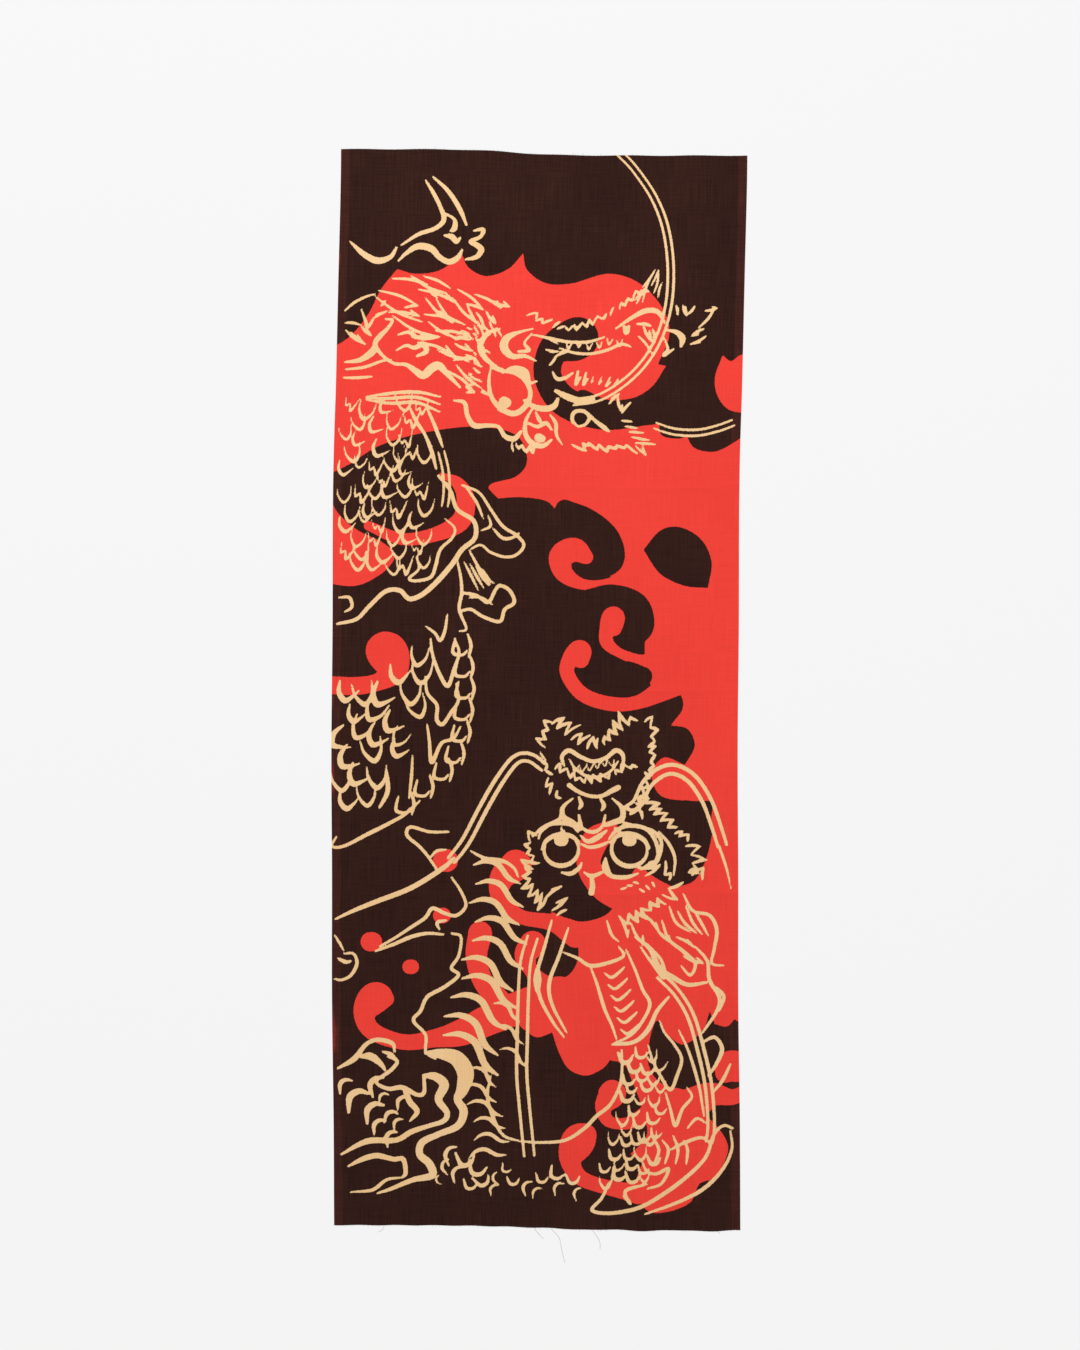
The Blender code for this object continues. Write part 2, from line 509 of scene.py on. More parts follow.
def upper_claw(c):
    """Three toes of a claw, and the curl of its wrist."""
    inked(c, [(-161, 376, 1.5), (-150, 366, 4.5), (-138, 360, 5.5), (-127, 363, 4.0), (-122, 371, 2.0)])
    inked(c, [(-118, 373, 1.6), (-104, 382, 3.2), (-90, 387, 3.6), (-83, 394, 4.0), (-86, 404, 3.4),
              (-92, 415, 3.2), (-99, 425, 1.6)])
    inked(c, [(-93, 428, 1.6), (-80, 417, 3.4), (-70, 403, 3.8), (-64, 390, 2.0)])
    inked(c, [(-81, 399, 1.6), (-74, 394, 3.0), (-74, 387, 5.0), (-77, 385, 2.0)])
    inked(c, [(-82, 381, 2.0), (-76, 380, 4.6), (-72, 376, 4.2), (-69, 379, 2.0)])
    inked(c, [(-120, 360, 1.8), (-114, 366, 3.2), (-104, 372, 5.4), (-93, 370, 5.6), (-86, 363, 4.6),
              (-78, 359, 4.8), (-71, 362, 4.6), (-67, 369, 2.0)])
    inked(c, [(-58, 385, 1.6), (-50, 386, 3.6), (-52, 380, 3.2), (-60, 376, 3.6), (-55, 373, 4.6),
              (-51, 369, 5.0), (-55, 363, 4.0), (-64, 361, 1.8)])


draw("a claw above the cloud", upper_claw)


# %% The mane


def mane(c):
    """Hair that streams back from the upper head in locks, shorter and finer near the brow."""
    locks(c, [
        (-125, 345, 30, -10, 0.5), (-107, 345, 30, -24, 0), (-99, 347, 25, -24, 0),
        (-95, 338, 13, -48, 0), (-136, 335, 36, -21, -0.3), (-139, 330, 46, -28, 0),
        (-103, 336, 34, -20, 0.35), (-97, 329, 32, -42, 0.75), (-70, 336, 28, -38, -0.5),
        (-74, 329, 30, -46, 0.6), (-56, 332, 26, -28, 0.25), (-42, 327, 17, -20, 0.4),
        (-128, 317, 27, -8, 0.3), (-124, 314, 40, -27, -0.35), (-98, 315, 36, -14, 0.7),
        (-94, 309, 28, -30, 0), (-88, 301, 30, -8, -0.4), (-108, 296, 24, 0, 0.6),
        (-103, 292, 34, -20, 0.3), (-86, 285, 30, -14, -0.5), (-73, 295, 15, -6, 0.8),
        (-72, 291, 18, -22, 0), (-54, 317, 15, -62, 0), (-46, 318, 14, -52, 0.5),
        (-60, 281, 13, -40, 0.6), (-70, 273, 30, -42, 0), (-77, 268, 30, -38, -0.2),
    ], 2.5)
    chance = np.random.default_rng(7)
    for k in range(26):
        x = -66 + 21 * chance.random()
        y = 306 - 56 * k / 25
        long = 2.5 + 5.5 * chance.random()
        flick(c, x, y, long, -50 + 30 * chance.random(), 0.05, 1.9, 0.7)
    for k in range(7):
        flick(c, -56 + 3.2 * k, 306 + 3.5 * np.sin(2 * k), 9, -65 - 5 * (k % 3), 0.1, 2.0, 0.5)


draw("the mane", mane)


# %% The upper head, with its jaw open


def upper_head(c):
    """The head seen from its side: horn, eye, muzzle, teeth and beard."""
    # a swept horn, the brow and the eye
    inked(c, [(-34, 303, 1.6), (-44, 299, 3.6), (-50, 289, 5.0), (-46, 279, 4.4), (-36, 271, 2.6),
              (-30, 269, 1.4)])
    inked(c, [(-6, 303, 1.4), (-18, 300, 2.8), (-28, 295, 6.0), (-30, 287, 7.0), (-23, 280, 4.8),
              (-12, 280, 3.0), (-3, 276, 1.6)])
    inked(c, [(-7, 299, 1.4), (-13, 291, 2.2), (-9, 285, 3.0), (-18, 284, 2.2)])
    inked(c, [(-41, 269, 1.6), (-42, 257, 3.0), (-39, 245, 3.6), (-31, 236, 4.2), (-20, 232, 4.8),
              (-11, 238, 4.6), (-7, 249, 3.8), (-12, 260, 3.6), (-21, 266, 3.2), (-33, 268, 2.6),
              (-41, 271, 2.0)])
    inked(c, [(-31, 266, 1.6), (-22, 270, 4.0), (-12, 267, 5.4), (-8, 258, 3.0), (-2, 259, 1.6)])
    inked(c, [(-29, 242, 8.5), (-27, 241, 8.5)])
    inked(c, [(-33, 236, 3.0), (-30, 234, 3.0)])
    # the muzzle: cheek, nostril and lips
    inked(c, [(-12, 243, 2.4), (-4, 238, 4.2), (5, 236, 5.0), (13, 238, 5.0), (16, 244, 3.0)])
    inked(c, [(-5, 236, 1.6), (-10, 226, 3.0), (-10, 215, 4.0), (-4, 207, 4.4), (5, 205, 4.0),
              (12, 210, 2.0)])
    inked(c, [(-8, 224, 2.0), (0, 221, 3.0), (7, 224, 3.4), (12, 218, 1.6)])
    inked(c, [(-2, 233, 1.6), (1, 227, 3.4), (4, 223, 1.6)])
    inked(c, [(1, 212, 7.0), (4, 211, 6.0)])
    inked(c, [(10, 231, 1.6), (15, 224, 3.2), (16, 214, 2.6), (21, 206, 1.4)])
    inked(c, [(-71, 243, 1.6), (-62, 241, 3.6), (-59, 230, 3.8), (-53, 222, 4.6), (-42, 222, 3.6),
              (-33, 221, 3.0), (-27, 213, 4.0), (-19, 211, 4.6), (-14, 217, 2.4)])
    fur(c, [(-21, 208), (-12, 206), (-2, 205)], -7, 5.5, 2.4, 0.2, 3)
    # the upper lip and jaw, with fur behind and teeth between, over the dark curl
    fur(c, [(-12, 314), (2, 307), (18, 302), (34, 302), (50, 309), (66, 319), (80, 328),
            (90, 334)], 4.6, 7.6, 2.2, 0.35, 4)
    inked(c, [(-6, 298, 1.6), (8, 295, 2.6), (24, 292, 2.6), (40, 292, 2.6), (54, 296, 1.6)])
    inked(c, [(63, 303, 1.6), (76, 312, 3.2), (88, 318, 4.4), (98, 317, 4.0), (104, 308, 1.8)])
    inked(c, [(16, 287, 1.4), (28, 283, 2.4), (42, 282, 2.4), (56, 285, 2.6), (68, 290, 2.6),
              (76, 288, 1.6)])
    tooth = [(-0.4, 0.4, 0.25), (0, -0.5, 0.3), (0.45, 0.4, 0.22)]
    for k in range(6):
        height = 289 + 1.5 * np.sin(2 * k) + 0.12 * k * k
        inked(c, turned(tooth, 24 + 8.5 * k, height, 5.6, 10 * np.sin(3 * k)))
    inked(c, [(70, 305, 2.4), (72, 300, 4.6), (74, 305, 2.4)])
    locks(c, [(80, 307, 13, -8, 0.5), (86, 306, 16, -62, 0.6), (94, 303, 12, -80, 0)], 2.6)
    inked(c, [(82, 297, 1.4), (88, 291, 2.2), (94, 282, 1.4)])
    locks(c, [(85, 325, 29, 70, 0.6), (94, 332, 21, 79, 0.7), (98, 328, 14, 78, 0),
              (80, 324, 12, 72, 0.8)], 2.0)
    # whiskers of the lower jaw, and the tuft beyond it
    locks(c, [(3, 296, 13, -26, 0.6), (4, 286, 12, -10, -0.6), (12, 279, 13, 22, 0.5),
              (8, 272, 11, 55, 0)], 2.4)
    inked(c, [(11, 267, 1.6), (15, 261, 3.2), (22, 262, 3.0), (28, 266, 1.8)])
    bristle = [(0, 0.5, 0.2), (0.1, -0.5, 0.24), (0.3, 0.1, 0.16)]
    for k, tall in enumerate((11, 10, 5, 6, 8, 7)):
        inked(c, turned(bristle, 31 + 6.6 * k, 262 - 0.8 * k, tall, -14 - 4 * k))
    locks(c, [(113, 323, 9, -80, 0.7), (119, 323, 10, -72, 0.8), (129, 322, 9, -130, 0),
              (137, 318, 11, 12, 0.4), (146, 321, 22, -128, 0),
              (137, 303, 12, -150, 0.5), (139, 297, 15, -152, 0.6)], 2.5)
    inked(c, [(106, 302, 1.6), (114, 300, 4.0), (119, 295, 5.6), (118, 288, 2.2)])
    inked(c, [(104, 295, 1.4), (107, 286, 2.6), (104, 281, 3.4), (112, 286, 1.6)])
    # beard under the chin
    inked(c, [(34, 221, 1.6), (29, 226, 3.0), (30, 233, 3.4), (38, 234, 3.0), (43, 229, 3.0),
              (40, 223, 2.6), (34, 221, 2.0)])
    inked(c, [(42, 232, 2.0), (48, 226, 3.0), (56, 220, 3.8), (60, 217, 2.0)])
    locks(c, [(59, 240, 12, 45, 0.6), (66, 247, 14, -75, 0.4), (70, 232, 12, 52, 0)], 2.6)
    fur(c, [(29, 206), (44, 208), (58, 205), (72, 206), (88, 205)], -5.5, 7.5, 2.3, 0.9, 9)
    for k in range(5):
        flick(c, 70 + 3 * k, 226 - 4.6 * k, 9 + 2 * k, -8 - 5 * (k % 2), 0.06, 2.3, 0.5)


draw("the upper head, with its jaw open", upper_head)


# %% The neck and its scales


def neck_and_scales(c):
    """Folds behind the head, and long loose scales down the neck."""
    # folds of the neck behind the head
    inked(c, [(-164, 318, 1.4), (-156, 325, 2.4), (-146, 330, 2.0), (-139, 332, 1.4)])
    inked(c, [(-150, 319, 1.4), (-147, 311, 2.4), (-144, 305, 3.0), (-139, 313, 1.4)])
    locks(c, [(-164, 308, 14, -8, 0), (-150, 305, 12, -42, 0.8), (-139, 312, 12, 28, 0.8),
              (-134, 322, 6, 50, 0)], 2.5)
    inked(c, [(-130, 311, 1.6), (-124, 310, 2.4), (-128, 303, 3.0), (-134, 297, 4.4), (-138, 290, 4.0),
              (-132, 281, 2.8), (-122, 274, 2.6), (-112, 273, 3.2), (-104, 268, 5.0), (-97, 264, 6.4),
              (-90, 270, 7.4), (-84, 272, 6.4), (-76, 264, 4.0), (-66, 254, 2.0)])
    inked(c, [(-119, 298, 1.6), (-110, 300, 3.0), (-104, 296, 3.6)])
    inked(c, [(-120, 285, 1.6), (-112, 289, 2.6), (-105, 287, 3.4), (-98, 290, 4.8), (-95, 284, 4.2),
              (-103, 280, 2.0)])
    for k in range(3):
        inked(c, [(-163 + 5 * k, 302 - 2 * k, 1.4), (-157 + 4 * k, 296 - 2 * k, 2.4),
                  (-152 + 3 * k, 292 - k, 1.4)])
    inked(c, [(-163, 275, 1.6), (-150, 277, 4.2), (-140, 284, 6.0), (-138, 290, 3.0)])
    inked(c, [(-162, 269, 1.6), (-146, 271, 2.6), (-132, 276, 2.2), (-124, 277, 1.4)])
    inked(c, [(-164, 262, 1.6), (-152, 262, 2.6), (-140, 263, 1.6)])
    for k in range(3):
        inked(c, [(-144, 246 - 1.2 * k, 1.6), (-124, 249 - 4.2 * k, 2.6), (-102, 250 - 4.4 * k, 2.8),
                  (-82, 246 - 6.4 * k, 1.6)])
    # long scales down the neck, and the strip beside them
    neck_marks = [lighter(TOOTH, 0.8), lighter(CUP, 0.75), lighter(COMMA, 0.8), lighter(CUP, 0.65)]
    marks(c, neck_marks, staggered(
        lambda y: -164 + 0.0010 * (y - 180) ** 2, lambda y: -86 - 0.0008 * (y - 188) ** 2,
        236, 11.8, 12, 14.0, 21, loose=1.15, bare=0.05))
    inked(c, [(-108, 238, 1.6), (-102, 226, 3.0), (-94, 214, 2.6), (-88, 200, 3.4), (-84, 186, 2.0)])
    inked(c, [(-94, 238, 1.6), (-88, 226, 2.8), (-82, 212, 3.0), (-79, 204, 1.6)])
    pair(c, [(-80, 200), (-76, 184), (-75, 166), (-77, 150)], 5.0, 2.2)


draw("the neck and its scales", neck_and_scales)


# %% [markdown]
# ## The lower half of the drawing
#
# The body coils on down the left side. A second beast faces the reader below the middle, with
# a long banded belly, fins at its shoulder, a small scaled tail and running water at its foot.


# %% Coils and feet


def coils(c):
    """The body's edge under the scales, a second coil, and the feet that reach out from them."""
    # the body's edge, and the second coil below it
    brush(c, [(-82, 180), (-72, 168), (-66, 152), (-52, 142), (-51, 128), (-62, 118), (-70, 106),
              (-84, 90), (-96, 80), (-106, 77), (-114, 84), (-126, 83), (-140, 70), (-150, 60),
              (-166, 56)], 4.4, 0.5)
    brush(c, [(-76, 144), (-68, 136), (-70, 128), (-80, 118), (-84, 104), (-88, 95), (-100, 92),
              (-106, 94), (-98, 102), (-100, 112)], 3.0)
    brush(c, [(-165, 78), (-156, 78), (-154, 70), (-160, 66)], 3.0)
    # claws that reach out from the coils
    brush(c, [(-62, 172), (-48, 166), (-38, 152), (-28, 138), (-16, 130), (-10, 122), (-16, 114),
              (-26, 112), (-38, 116), (-46, 122), (-54, 119)], 2.8, 0.6)
    brush(c, [(-60, 172), (-50, 158), (-44, 144)], 2.6)
    brush(c, [(-40, 147), (-38, 138), (-46, 134)], 2.4)
    brush(c, [(-36, 136), (-28, 128), (-20, 128), (-14, 132)], 3.0)
    brush(c, [(-66, 110), (-63, 96), (-62, 82), (-64, 68), (-58, 52), (-64, 50)], 3.0)
    brush(c, [(-62, 82), (-50, 80), (-40, 74), (-34, 84), (-30, 88), (-22, 84), (-18, 74), (-26, 68),
              (-30, 58), (-44, 62), (-54, 68), (-62, 67)], 3.2, 0.7)
    for k in range(4):
        brush(c, [(-60 + 5 * k, 108 - 2 * k), (-54 + 5 * k, 96 - k), (-48 + 4.4 * k, 84 + 2 * k)], 2.4)
    brush(c, [(-56, 118), (-46, 100), (-38, 88)], 2.6)
    brush(c, [(-56, 78), (-46, 78), (-36, 72)], 2.6)


draw("coils and feet", coils)


# %% The fat coil on the left


def lower_scales(c):
    """The fat coil on the left: staggered rows of cupped scales, and plates along its edge."""
    marks(c, [lighter(CUP, 0.85), COMMA, lighter(CUP, 0.75), COMMA], staggered(
        lambda y: -168 + 2.4 * np.clip(y - 4, 0, 30), lambda y: -92 - 0.0055 * np.minimum(y, 0) ** 2,
        34, 17.5, 8, 18.0, 62, loose=1.7, bare=0.10))
    # the coil's edge, with plates along it
    for x, y in ((-57, 42), (-55, 24), (-54, 6), (-55, -12), (-57, -30), (-62, -48), (-72, -62),
                 (-88, -76), (-104, -90)):
        brush(c, [(x, y + 6), (x + 3, y - 4), (x + 1, y - 14)], 3.0)
        brush(c, [(x - 10, y + 2), (x - 12, y - 10), (x - 4, y - 12), (x, y - 8)], 3.0)
    brush(c, [(-88, 44), (-86, 30), (-80, 14), (-73, 4), (-68, 18), (-64, 32), (-68, 44)], 3.4)
    brush(c, [(-92, 12), (-90, -2), (-82, -12), (-82, -24), (-77, -28), (-70, -18), (-64, -8),
              (-66, 6)], 3.4)
    brush(c, [(-90, -28), (-88, -42), (-86, -60), (-78, -44), (-68, -40), (-62, -30)], 3.4)
    brush(c, [(-92, 54), (-84, 48), (-80, 42), (-76, 50), (-74, 64)], 3.0)
    brush(c, [(-96, -92), (-108, -103), (-124, -112), (-140, -120), (-160, -130), (-170, -130),
              (-166, -122)], 3.4)
    brush(c, [(-124, -66), (-123, -84), (-130, -98)], 4.0)
    brush(c, [(-102, -54), (-103, -72), (-105, -90)], 2.8)


draw("the fat coil on the left", lower_scales)


# %% The lower head, seen from above


def lower_head(c):
    """The head that faces the reader, seen from above with its chin up."""
    # fur round the chin
    fur(c, [(15, -70), (9, -56), (10, -40), (14, -26)], 6.5, 7.5, 2.4, 0.4, 31)
    fur(c, [(14, -28), (26, -38), (40, -47), (50, -49), (62, -43), (74, -33),
            (86, -25)], 11.0, 7.2, 2.5, 0.15, 32)
    fur(c, [(92, -26), (98, -34), (95, -46), (97, -60), (93, -74)], 6.5, 7.0, 2.6, -0.3, 33)
    # the mouth: lips, two rows of teeth and the fur below
    inked(c, [(25, -63, 1.6), (23, -55, 3.4), (29, -50, 3.8), (38, -55, 3.4), (49, -59, 3.2),
              (60, -56, 3.4), (68, -50, 4.0), (74, -54, 3.4), (74, -66, 1.8)])
    inked(c, [(29, -57, 1.4), (34, -65, 2.2), (43, -71, 2.4), (54, -72, 2.4), (64, -67, 2.2),
              (70, -59, 1.4)])
    tooth = [(-0.5, 0.5, 0.2), (-0.1, -0.5, 0.26), (0.5, 0.4, 0.2)]
    for k in range(6):
        height = -62.6 + 2.6 * np.sin(0.9 * k - 2.4)
        inked(c, turned(tooth, 34 + 6.2 * k, height, 5.6, -12 + 7 * k))
    fur(c, [(17, -66), (25, -71), (36, -76), (50, -78), (62, -74), (74, -68),
            (86, -64)], 5.5, 6.8, 2.3, -0.2, 34)
    fur(c, [(12, -72), (18, -82), (22, -90)], -5, 8.0, 2.4, 0.4, 35)
    fur(c, [(92, -68), (90, -82), (84, -94)], 5.0, 7.5, 2.6, 0.5, 36)
    # the nose: a wide fold over two round nostrils
    inked(c, [(29, -79, 4.0), (36, -84, 3.2), (46, -88, 3.0), (56, -88, 3.2), (64, -84, 4.2),
              (70, -81, 4.6)])
    inked(c, [(32, -90, 1.6), (24, -97, 3.2), (24, -105, 4.0), (31, -110, 4.8), (38, -115, 4.4),
              (37, -104, 2.0)])
    inked(c, [(37, -89, 2.0), (39, -95, 3.8), (37, -99, 1.8)])
    inked(c, [(65, -90, 1.6), (73, -98, 3.8), (73, -107, 5.0), (66, -110, 4.6), (58, -112, 3.0),
              (59, -104, 1.8)])
    inked(c, [(55, -90, 2.0), (58, -96, 3.8), (56, -100, 1.8)])
    inked(c, [(38, -113, 1.8), (43, -117, 3.0), (50, -118, 3.2), (56, -114, 2.6), (59, -106, 1.8)])
    locks(c, [(22, -98, 13, -84, 0), (22, -114, 9, -70, 0.7), (72, -110, 12, -20, 0.4),
              (66, -114, 14, -34, 0)], 2.6)
    # the eyes, under heavy lids
    for x, tilt, r in ((22, 8, 14.5), (79, -12, 15.0)):
        a = np.radians(np.arange(150, 391, 30))
        inked(c, turned(np.c_[np.cos(a), 0.92 * np.sin(a), 0.17 + 0.10 * np.cos(a - 4.6)], x, -133, r, tilt))
        a = np.radians(np.arange(20, 171, 30))
        lid = np.c_[1.1 * np.cos(a), 0.04 + 0.84 * np.sin(a), 0.16 + 0.12 * np.sin(a)]
        inked(c, turned(lid, x, -133, r, tilt))
        inked(c, [(x - 1, -125, 10.0), (x + 1, -125, 10.0)])
    inked(c, [(-2, -122, 1.6), (6, -115, 3.0), (16, -111, 3.4), (30, -112, 3.2), (36, -118, 1.8)])
    inked(c, [(62, -124, 1.8), (68, -117, 3.2), (78, -113, 3.6), (92, -115, 3.4), (100, -124, 3.2),
              (103, -136, 3.0), (99, -146, 1.8)])
    inked(c, [(38, -121, 1.6), (44, -126, 3.4), (52, -123, 4.6), (60, -117, 2.0)])
    inked(c, [(38, -128, 1.6), (46, -131, 2.8), (56, -129, 3.0), (62, -126, 1.6)])
    inked(c, [(22, -152, 1.8), (30, -153, 3.8), (37, -148, 3.2), (39, -144, 1.6)])
    inked(c, [(59, -140, 2.0), (59, -148, 6.2), (64, -155, 3.8), (76, -156, 3.6), (86, -153, 1.8)])
    inked(c, [(41, -152, 1.8), (48, -155, 3.6), (60, -150, 1.8)])
    inked(c, [(47, -155, 3.0), (48, -163, 4.4), (47, -169, 5.0)])
    inked(c, [(104, -118, 1.6), (112, -128, 2.8), (117, -140, 2.6), (116, -154, 1.6)])
    inked(c, [(88, -113, 1.6), (100, -118, 2.6), (106, -128, 2.8), (102, -142, 3.6), (95, -148, 3.2),
              (86, -148, 1.8)])
    locks(c, [(88, -150, 18, 26, 0.5), (92, -155, 16, 36, 0.6), (86, -96, 12, -70, 0.5)], 2.6)
    # the mane on both cheeks
    inked(c, [(22, -98, 1.6), (21, -107, 3.0), (12, -112, 3.2), (5, -118, 2.4), (3, -124, 1.6)])
    fur(c, [(4, -144), (-2, -136), (-4, -128), (2, -121)], 6.0, 6.5, 2.4, 0.2, 37)
    fur(c, [(10, -172), (0, -164), (-4, -154), (2, -144)], 11, 5.2, 2.5, -0.2, 38)
    locks(c, [(8, -174, 18, 36, 0.5), (14, -184, 17, 40, 0.6), (18, -188, 10, 30, 0)], 2.8)
    fur(c, [(88, -88), (96, -100), (108, -112), (120, -122), (128, -126)], 7.5, 7.4, 2.5, 0.4, 39)
    fur(c, [(126, -130), (132, -142), (128, -152), (140, -158)], 9.0, 7.6, 2.5, 0.2, 40)
    fur(c, [(70, -188), (84, -184), (96, -176), (110, -168), (112, -158),
            (102, -150)], -8.5, 6.6, 2.5, 0.2, 41)
    for k in range(6):
        flick(c, 72 + 5.2 * k, -166 + 3 * (k % 3), 4.2, 10 - 16 * k, 0.1, 2.2, 0.7)
    # whiskers: two lines side by side that arch out and down
    pair(c, [(8, -64), (-4, -56), (-16, -58), (-30, -76), (-44, -100), (-58, -126),
             (-71, -143)], 6.5, 3.4)
    inked(c, [(-68, -140, 2.4), (-78, -149, 4.0), (-104, -165, 4.2), (-132, -176, 4.0),
              (-152, -184, 3.2), (-167, -191, 1.8)])
    pair(c, [(78, -100), (86, -94), (94, -78), (106, -68), (118, -66), (132, -74), (144, -92),
             (152, -114), (158, -134)], 7.5, 3.4)
    inked(c, [(154, -130, 2.4), (160, -148, 2.2), (164, -166, 1.0)])
    inked(c, [(76, -98, 3.0), (82, -100, 2.8), (88, -96, 1.4)])


draw("the lower head, seen from above", lower_head)


# %% The long body
BAND = [(0, 0, 0.03), (0.22, 0.13, 0.09), (0.48, 0.12, 0.11), (0.75, -0.10, 0.10), (1.0, -0.16, 0.035)]


def lower_body(c):
    """The long body on the right, seen from its belly: forearm, bands, breast, fins and whiskers."""
    # forearm and claw on the left of the body
    brush(c, [(-72, -118), (-88, -118), (-104, -114), (-107, -121), (-97, -130), (-90, -138),
              (-82, -150)], 3.0, 0.6)
    brush(c, [(-88, -140), (-82, -134), (-74, -133)], 2.6)
    brush(c, [(-54, -134), (-42, -140), (-28, -142), (-18, -148), (-14, -156)], 3.2)
    brush(c, [(-70, -156), (-62, -168), (-58, -180), (-66, -188), (-76, -186), (-86, -182),
              (-92, -190), (-104, -198), (-116, -206), (-130, -214)], 3.2, 0.5)
    brush(c, [(-134, -218), (-118, -212), (-104, -206), (-90, -203), (-76, -204)], 3.4)
    brush(c, [(-80, -200), (-82, -194), (-74, -192)], 3.0)
    brush(c, [(-168, -204), (-163, -212), (-160, -218)], 2.4)
    brush(c, [(-160, -220), (-152, -220), (-149, -228), (-154, -238), (-162, -242), (-168, -241)], 3.0)
    brush(c, [(-165, -224), (-158, -227), (-154, -226)], 3.4)
    # bands across the belly: each starts at the belly's edge, which swings out to the left
    for k in range(10):
        y = -146 - 15.8 * k
        x = -52 - 32 * max(0.0, -y - 205) / 95 + 3 * np.sin(2.3 * k)
        inked(c, turned(BAND, x, y, 42 + 1.5 * k, -12 - 1.6 * k - 3 * np.sin(1.7 * k)))
    for k in range(3):
        inked(c, turned(BAND, -36 + 3 * k, -262 - 19 * k, 27, -24))
    for k in range(6):
        inked(c, turned(BAND, -56 - 4 * np.sin(1.3 * k), -316 - 15 * k, 27 + 2 * (k % 3), -26 + 8 * k))
    brush(c, [(-38, -322), (-41, -340), (-36, -358), (-28, -372), (-14, -377)], 3.0)
    brush(c, [(-70, -203), (-62, -206), (-64, -222), (-70, -232), (-64, -238), (-76, -248),
              (-90, -256), (-96, -268), (-102, -276), (-92, -288), (-92, -302), (-84, -308)], 3.2, 0.6)
    # the double tendrils that hang down the middle
    pair(c, [(-2, -206), (-8, -228), (-10, -260), (-11, -290), (-12, -320), (-10, -350),
             (-6, -394)], 8.5, 2.8)
    brush(c, [(14, -192), (8, -214), (2, -236), (4, -256), (14, -276), (24, -290)], 3.4)
    brush(c, [(28, -198), (20, -222), (12, -244), (14, -262), (26, -286)], 3.4)
    brush(c, [(2, -232), (2, -252)], 7.0, 0.3)
    # breast: a plate with ribs
    brush(c, [(24, -219), (36, -224), (46, -230), (60, -228), (74, -222), (70, -214)], 3.4)
    brush(c, [(46, -230), (52, -246), (58, -266), (64, -280), (68, -292)], 3.0)
    for k in range(6):
        x, y = 58 + 2.6 * k, -236 - 9.4 * k
        brush(c, [(x, y), (x + 6, y - 4), (x + 13, y + 1), (x + 17, y + 5)], 2.8)
    brush(c, [(76, -216), (84, -234), (90, -250), (96, -262), (90, -276), (80, -288), (64, -296)], 3.0)
    brush(c, [(64, -296), (82, -294), (94, -284), (102, -268), (112, -256)], 4.0)
    # shoulder fins and flames on the right
    locks(c, [(70, -188, 20, -68, 0.3), (80, -194, 22, -60, 0.35), (90, -186, 22, -50, 0.4),
              (100, -196, 20, -48, 0.3), (118, -206, 18, -30, 0.5), (124, -222, 18, -20, 0.4)], 2.6)
    brush(c, [(60, -192), (64, -204), (70, -210)], 2.6)
    brush(c, [(84, -206), (96, -216), (104, -232), (116, -240), (128, -246), (144, -244)], 4.4)
    brush(c, [(88, -214), (98, -228), (108, -240), (106, -226), (94, -212)], 3.0)
    brush(c, [(106, -192), (112, -208), (124, -218), (134, -228), (130, -238), (122, -230)], 3.2)
    brush(c, [(124, -170), (132, -184), (146, -188), (152, -200), (150, -216), (148, -228),
              (158, -230)], 3.2)
    for k in range(4):
        brush(c, [(112 + 7 * k, -180 - 4 * (k % 2)), (118 + 7 * k, -194), (130 + 5 * k, -202 - k)], 2.6)
    brush(c, [(134, -214), (144, -226), (146, -242), (154, -256), (152, -268), (140, -286)], 3.4)
    brush(c, [(152, -248), (158, -256), (154, -268)], 3.0)
    # long double whisker over the fins
    pair(c, [(104, -238), (118, -252), (130, -272), (138, -300), (144, -330), (146, -362),
             (144, -380)], 5.5, 3.0)
    brush(c, [(120, -284), (128, -302), (136, -330), (140, -356)], 2.8)
    brush(c, [(140, -294), (150, -290), (156, -300), (150, -314), (144, -322)], 3.6)
    brush(c, [(163, -312), (156, -326), (148, -336)], 3.0)
    # dark leaf below the breast
    brush(c, [(94, -296), (98, -310), (104, -322), (112, -334), (118, -322), (122, -308), (116, -296),
              (108, -286), (104, -276)], 3.0)
    brush(c, [(108, -336), (112, -350), (116, -364), (122, -350), (130, -340), (126, -332)], 3.0)


draw("the long body", lower_body)


# %% The tail


def tail(c):
    """The body's end: small scales in rows, and the fins of the tail in a crescent."""
    brush(c, [(72, -300), (72, -316), (70, -330), (62, -346), (50, -356), (40, -366), (24, -376),
              (4, -378), (-14, -377)], 3.2)
    marks(c, [TICK, lighter(TICK, 0.85), lighter(CUP, 0.9)], staggered(
        lambda y: 73 - 0.0044 * np.minimum(y + 330, 0) ** 2,
        lambda y: 107 - 0.0022 * np.minimum(y + 330, 0) ** 2,
        -305, 9.2, 12, 11.0, 61, loose=0.9, bare=0.06))
    brush(c, [(60, -412), (54, -424), (46, -434), (66, -436), (92, -428), (118, -412), (140, -392),
              (148, -372), (156, -364), (164, -366)], 3.4, 0.6)
    brush(c, [(72, -422), (78, -428), (74, -418), (92, -412)], 3.0)
    brush(c, [(162, -368), (163, -384), (154, -402), (136, -418), (110, -430), (90, -436)], 3.2)
    for k in range(4):
        brush(c, [(96 + 9 * k, -372 - 4 * (k % 2)), (102 + 8 * k, -384), (98 + 9 * k, -396)], 2.8)
    brush(c, [(88, -394), (92, -402), (100, -404), (110, -400), (104, -412), (92, -416)], 3.0)
    brush(c, [(112, -384), (124, -378), (138, -374), (146, -380)], 3.0)
    brush(c, [(126, -366), (134, -358), (142, -362)], 2.6)


draw("the tail", tail)


# %% Rocks and water at the foot


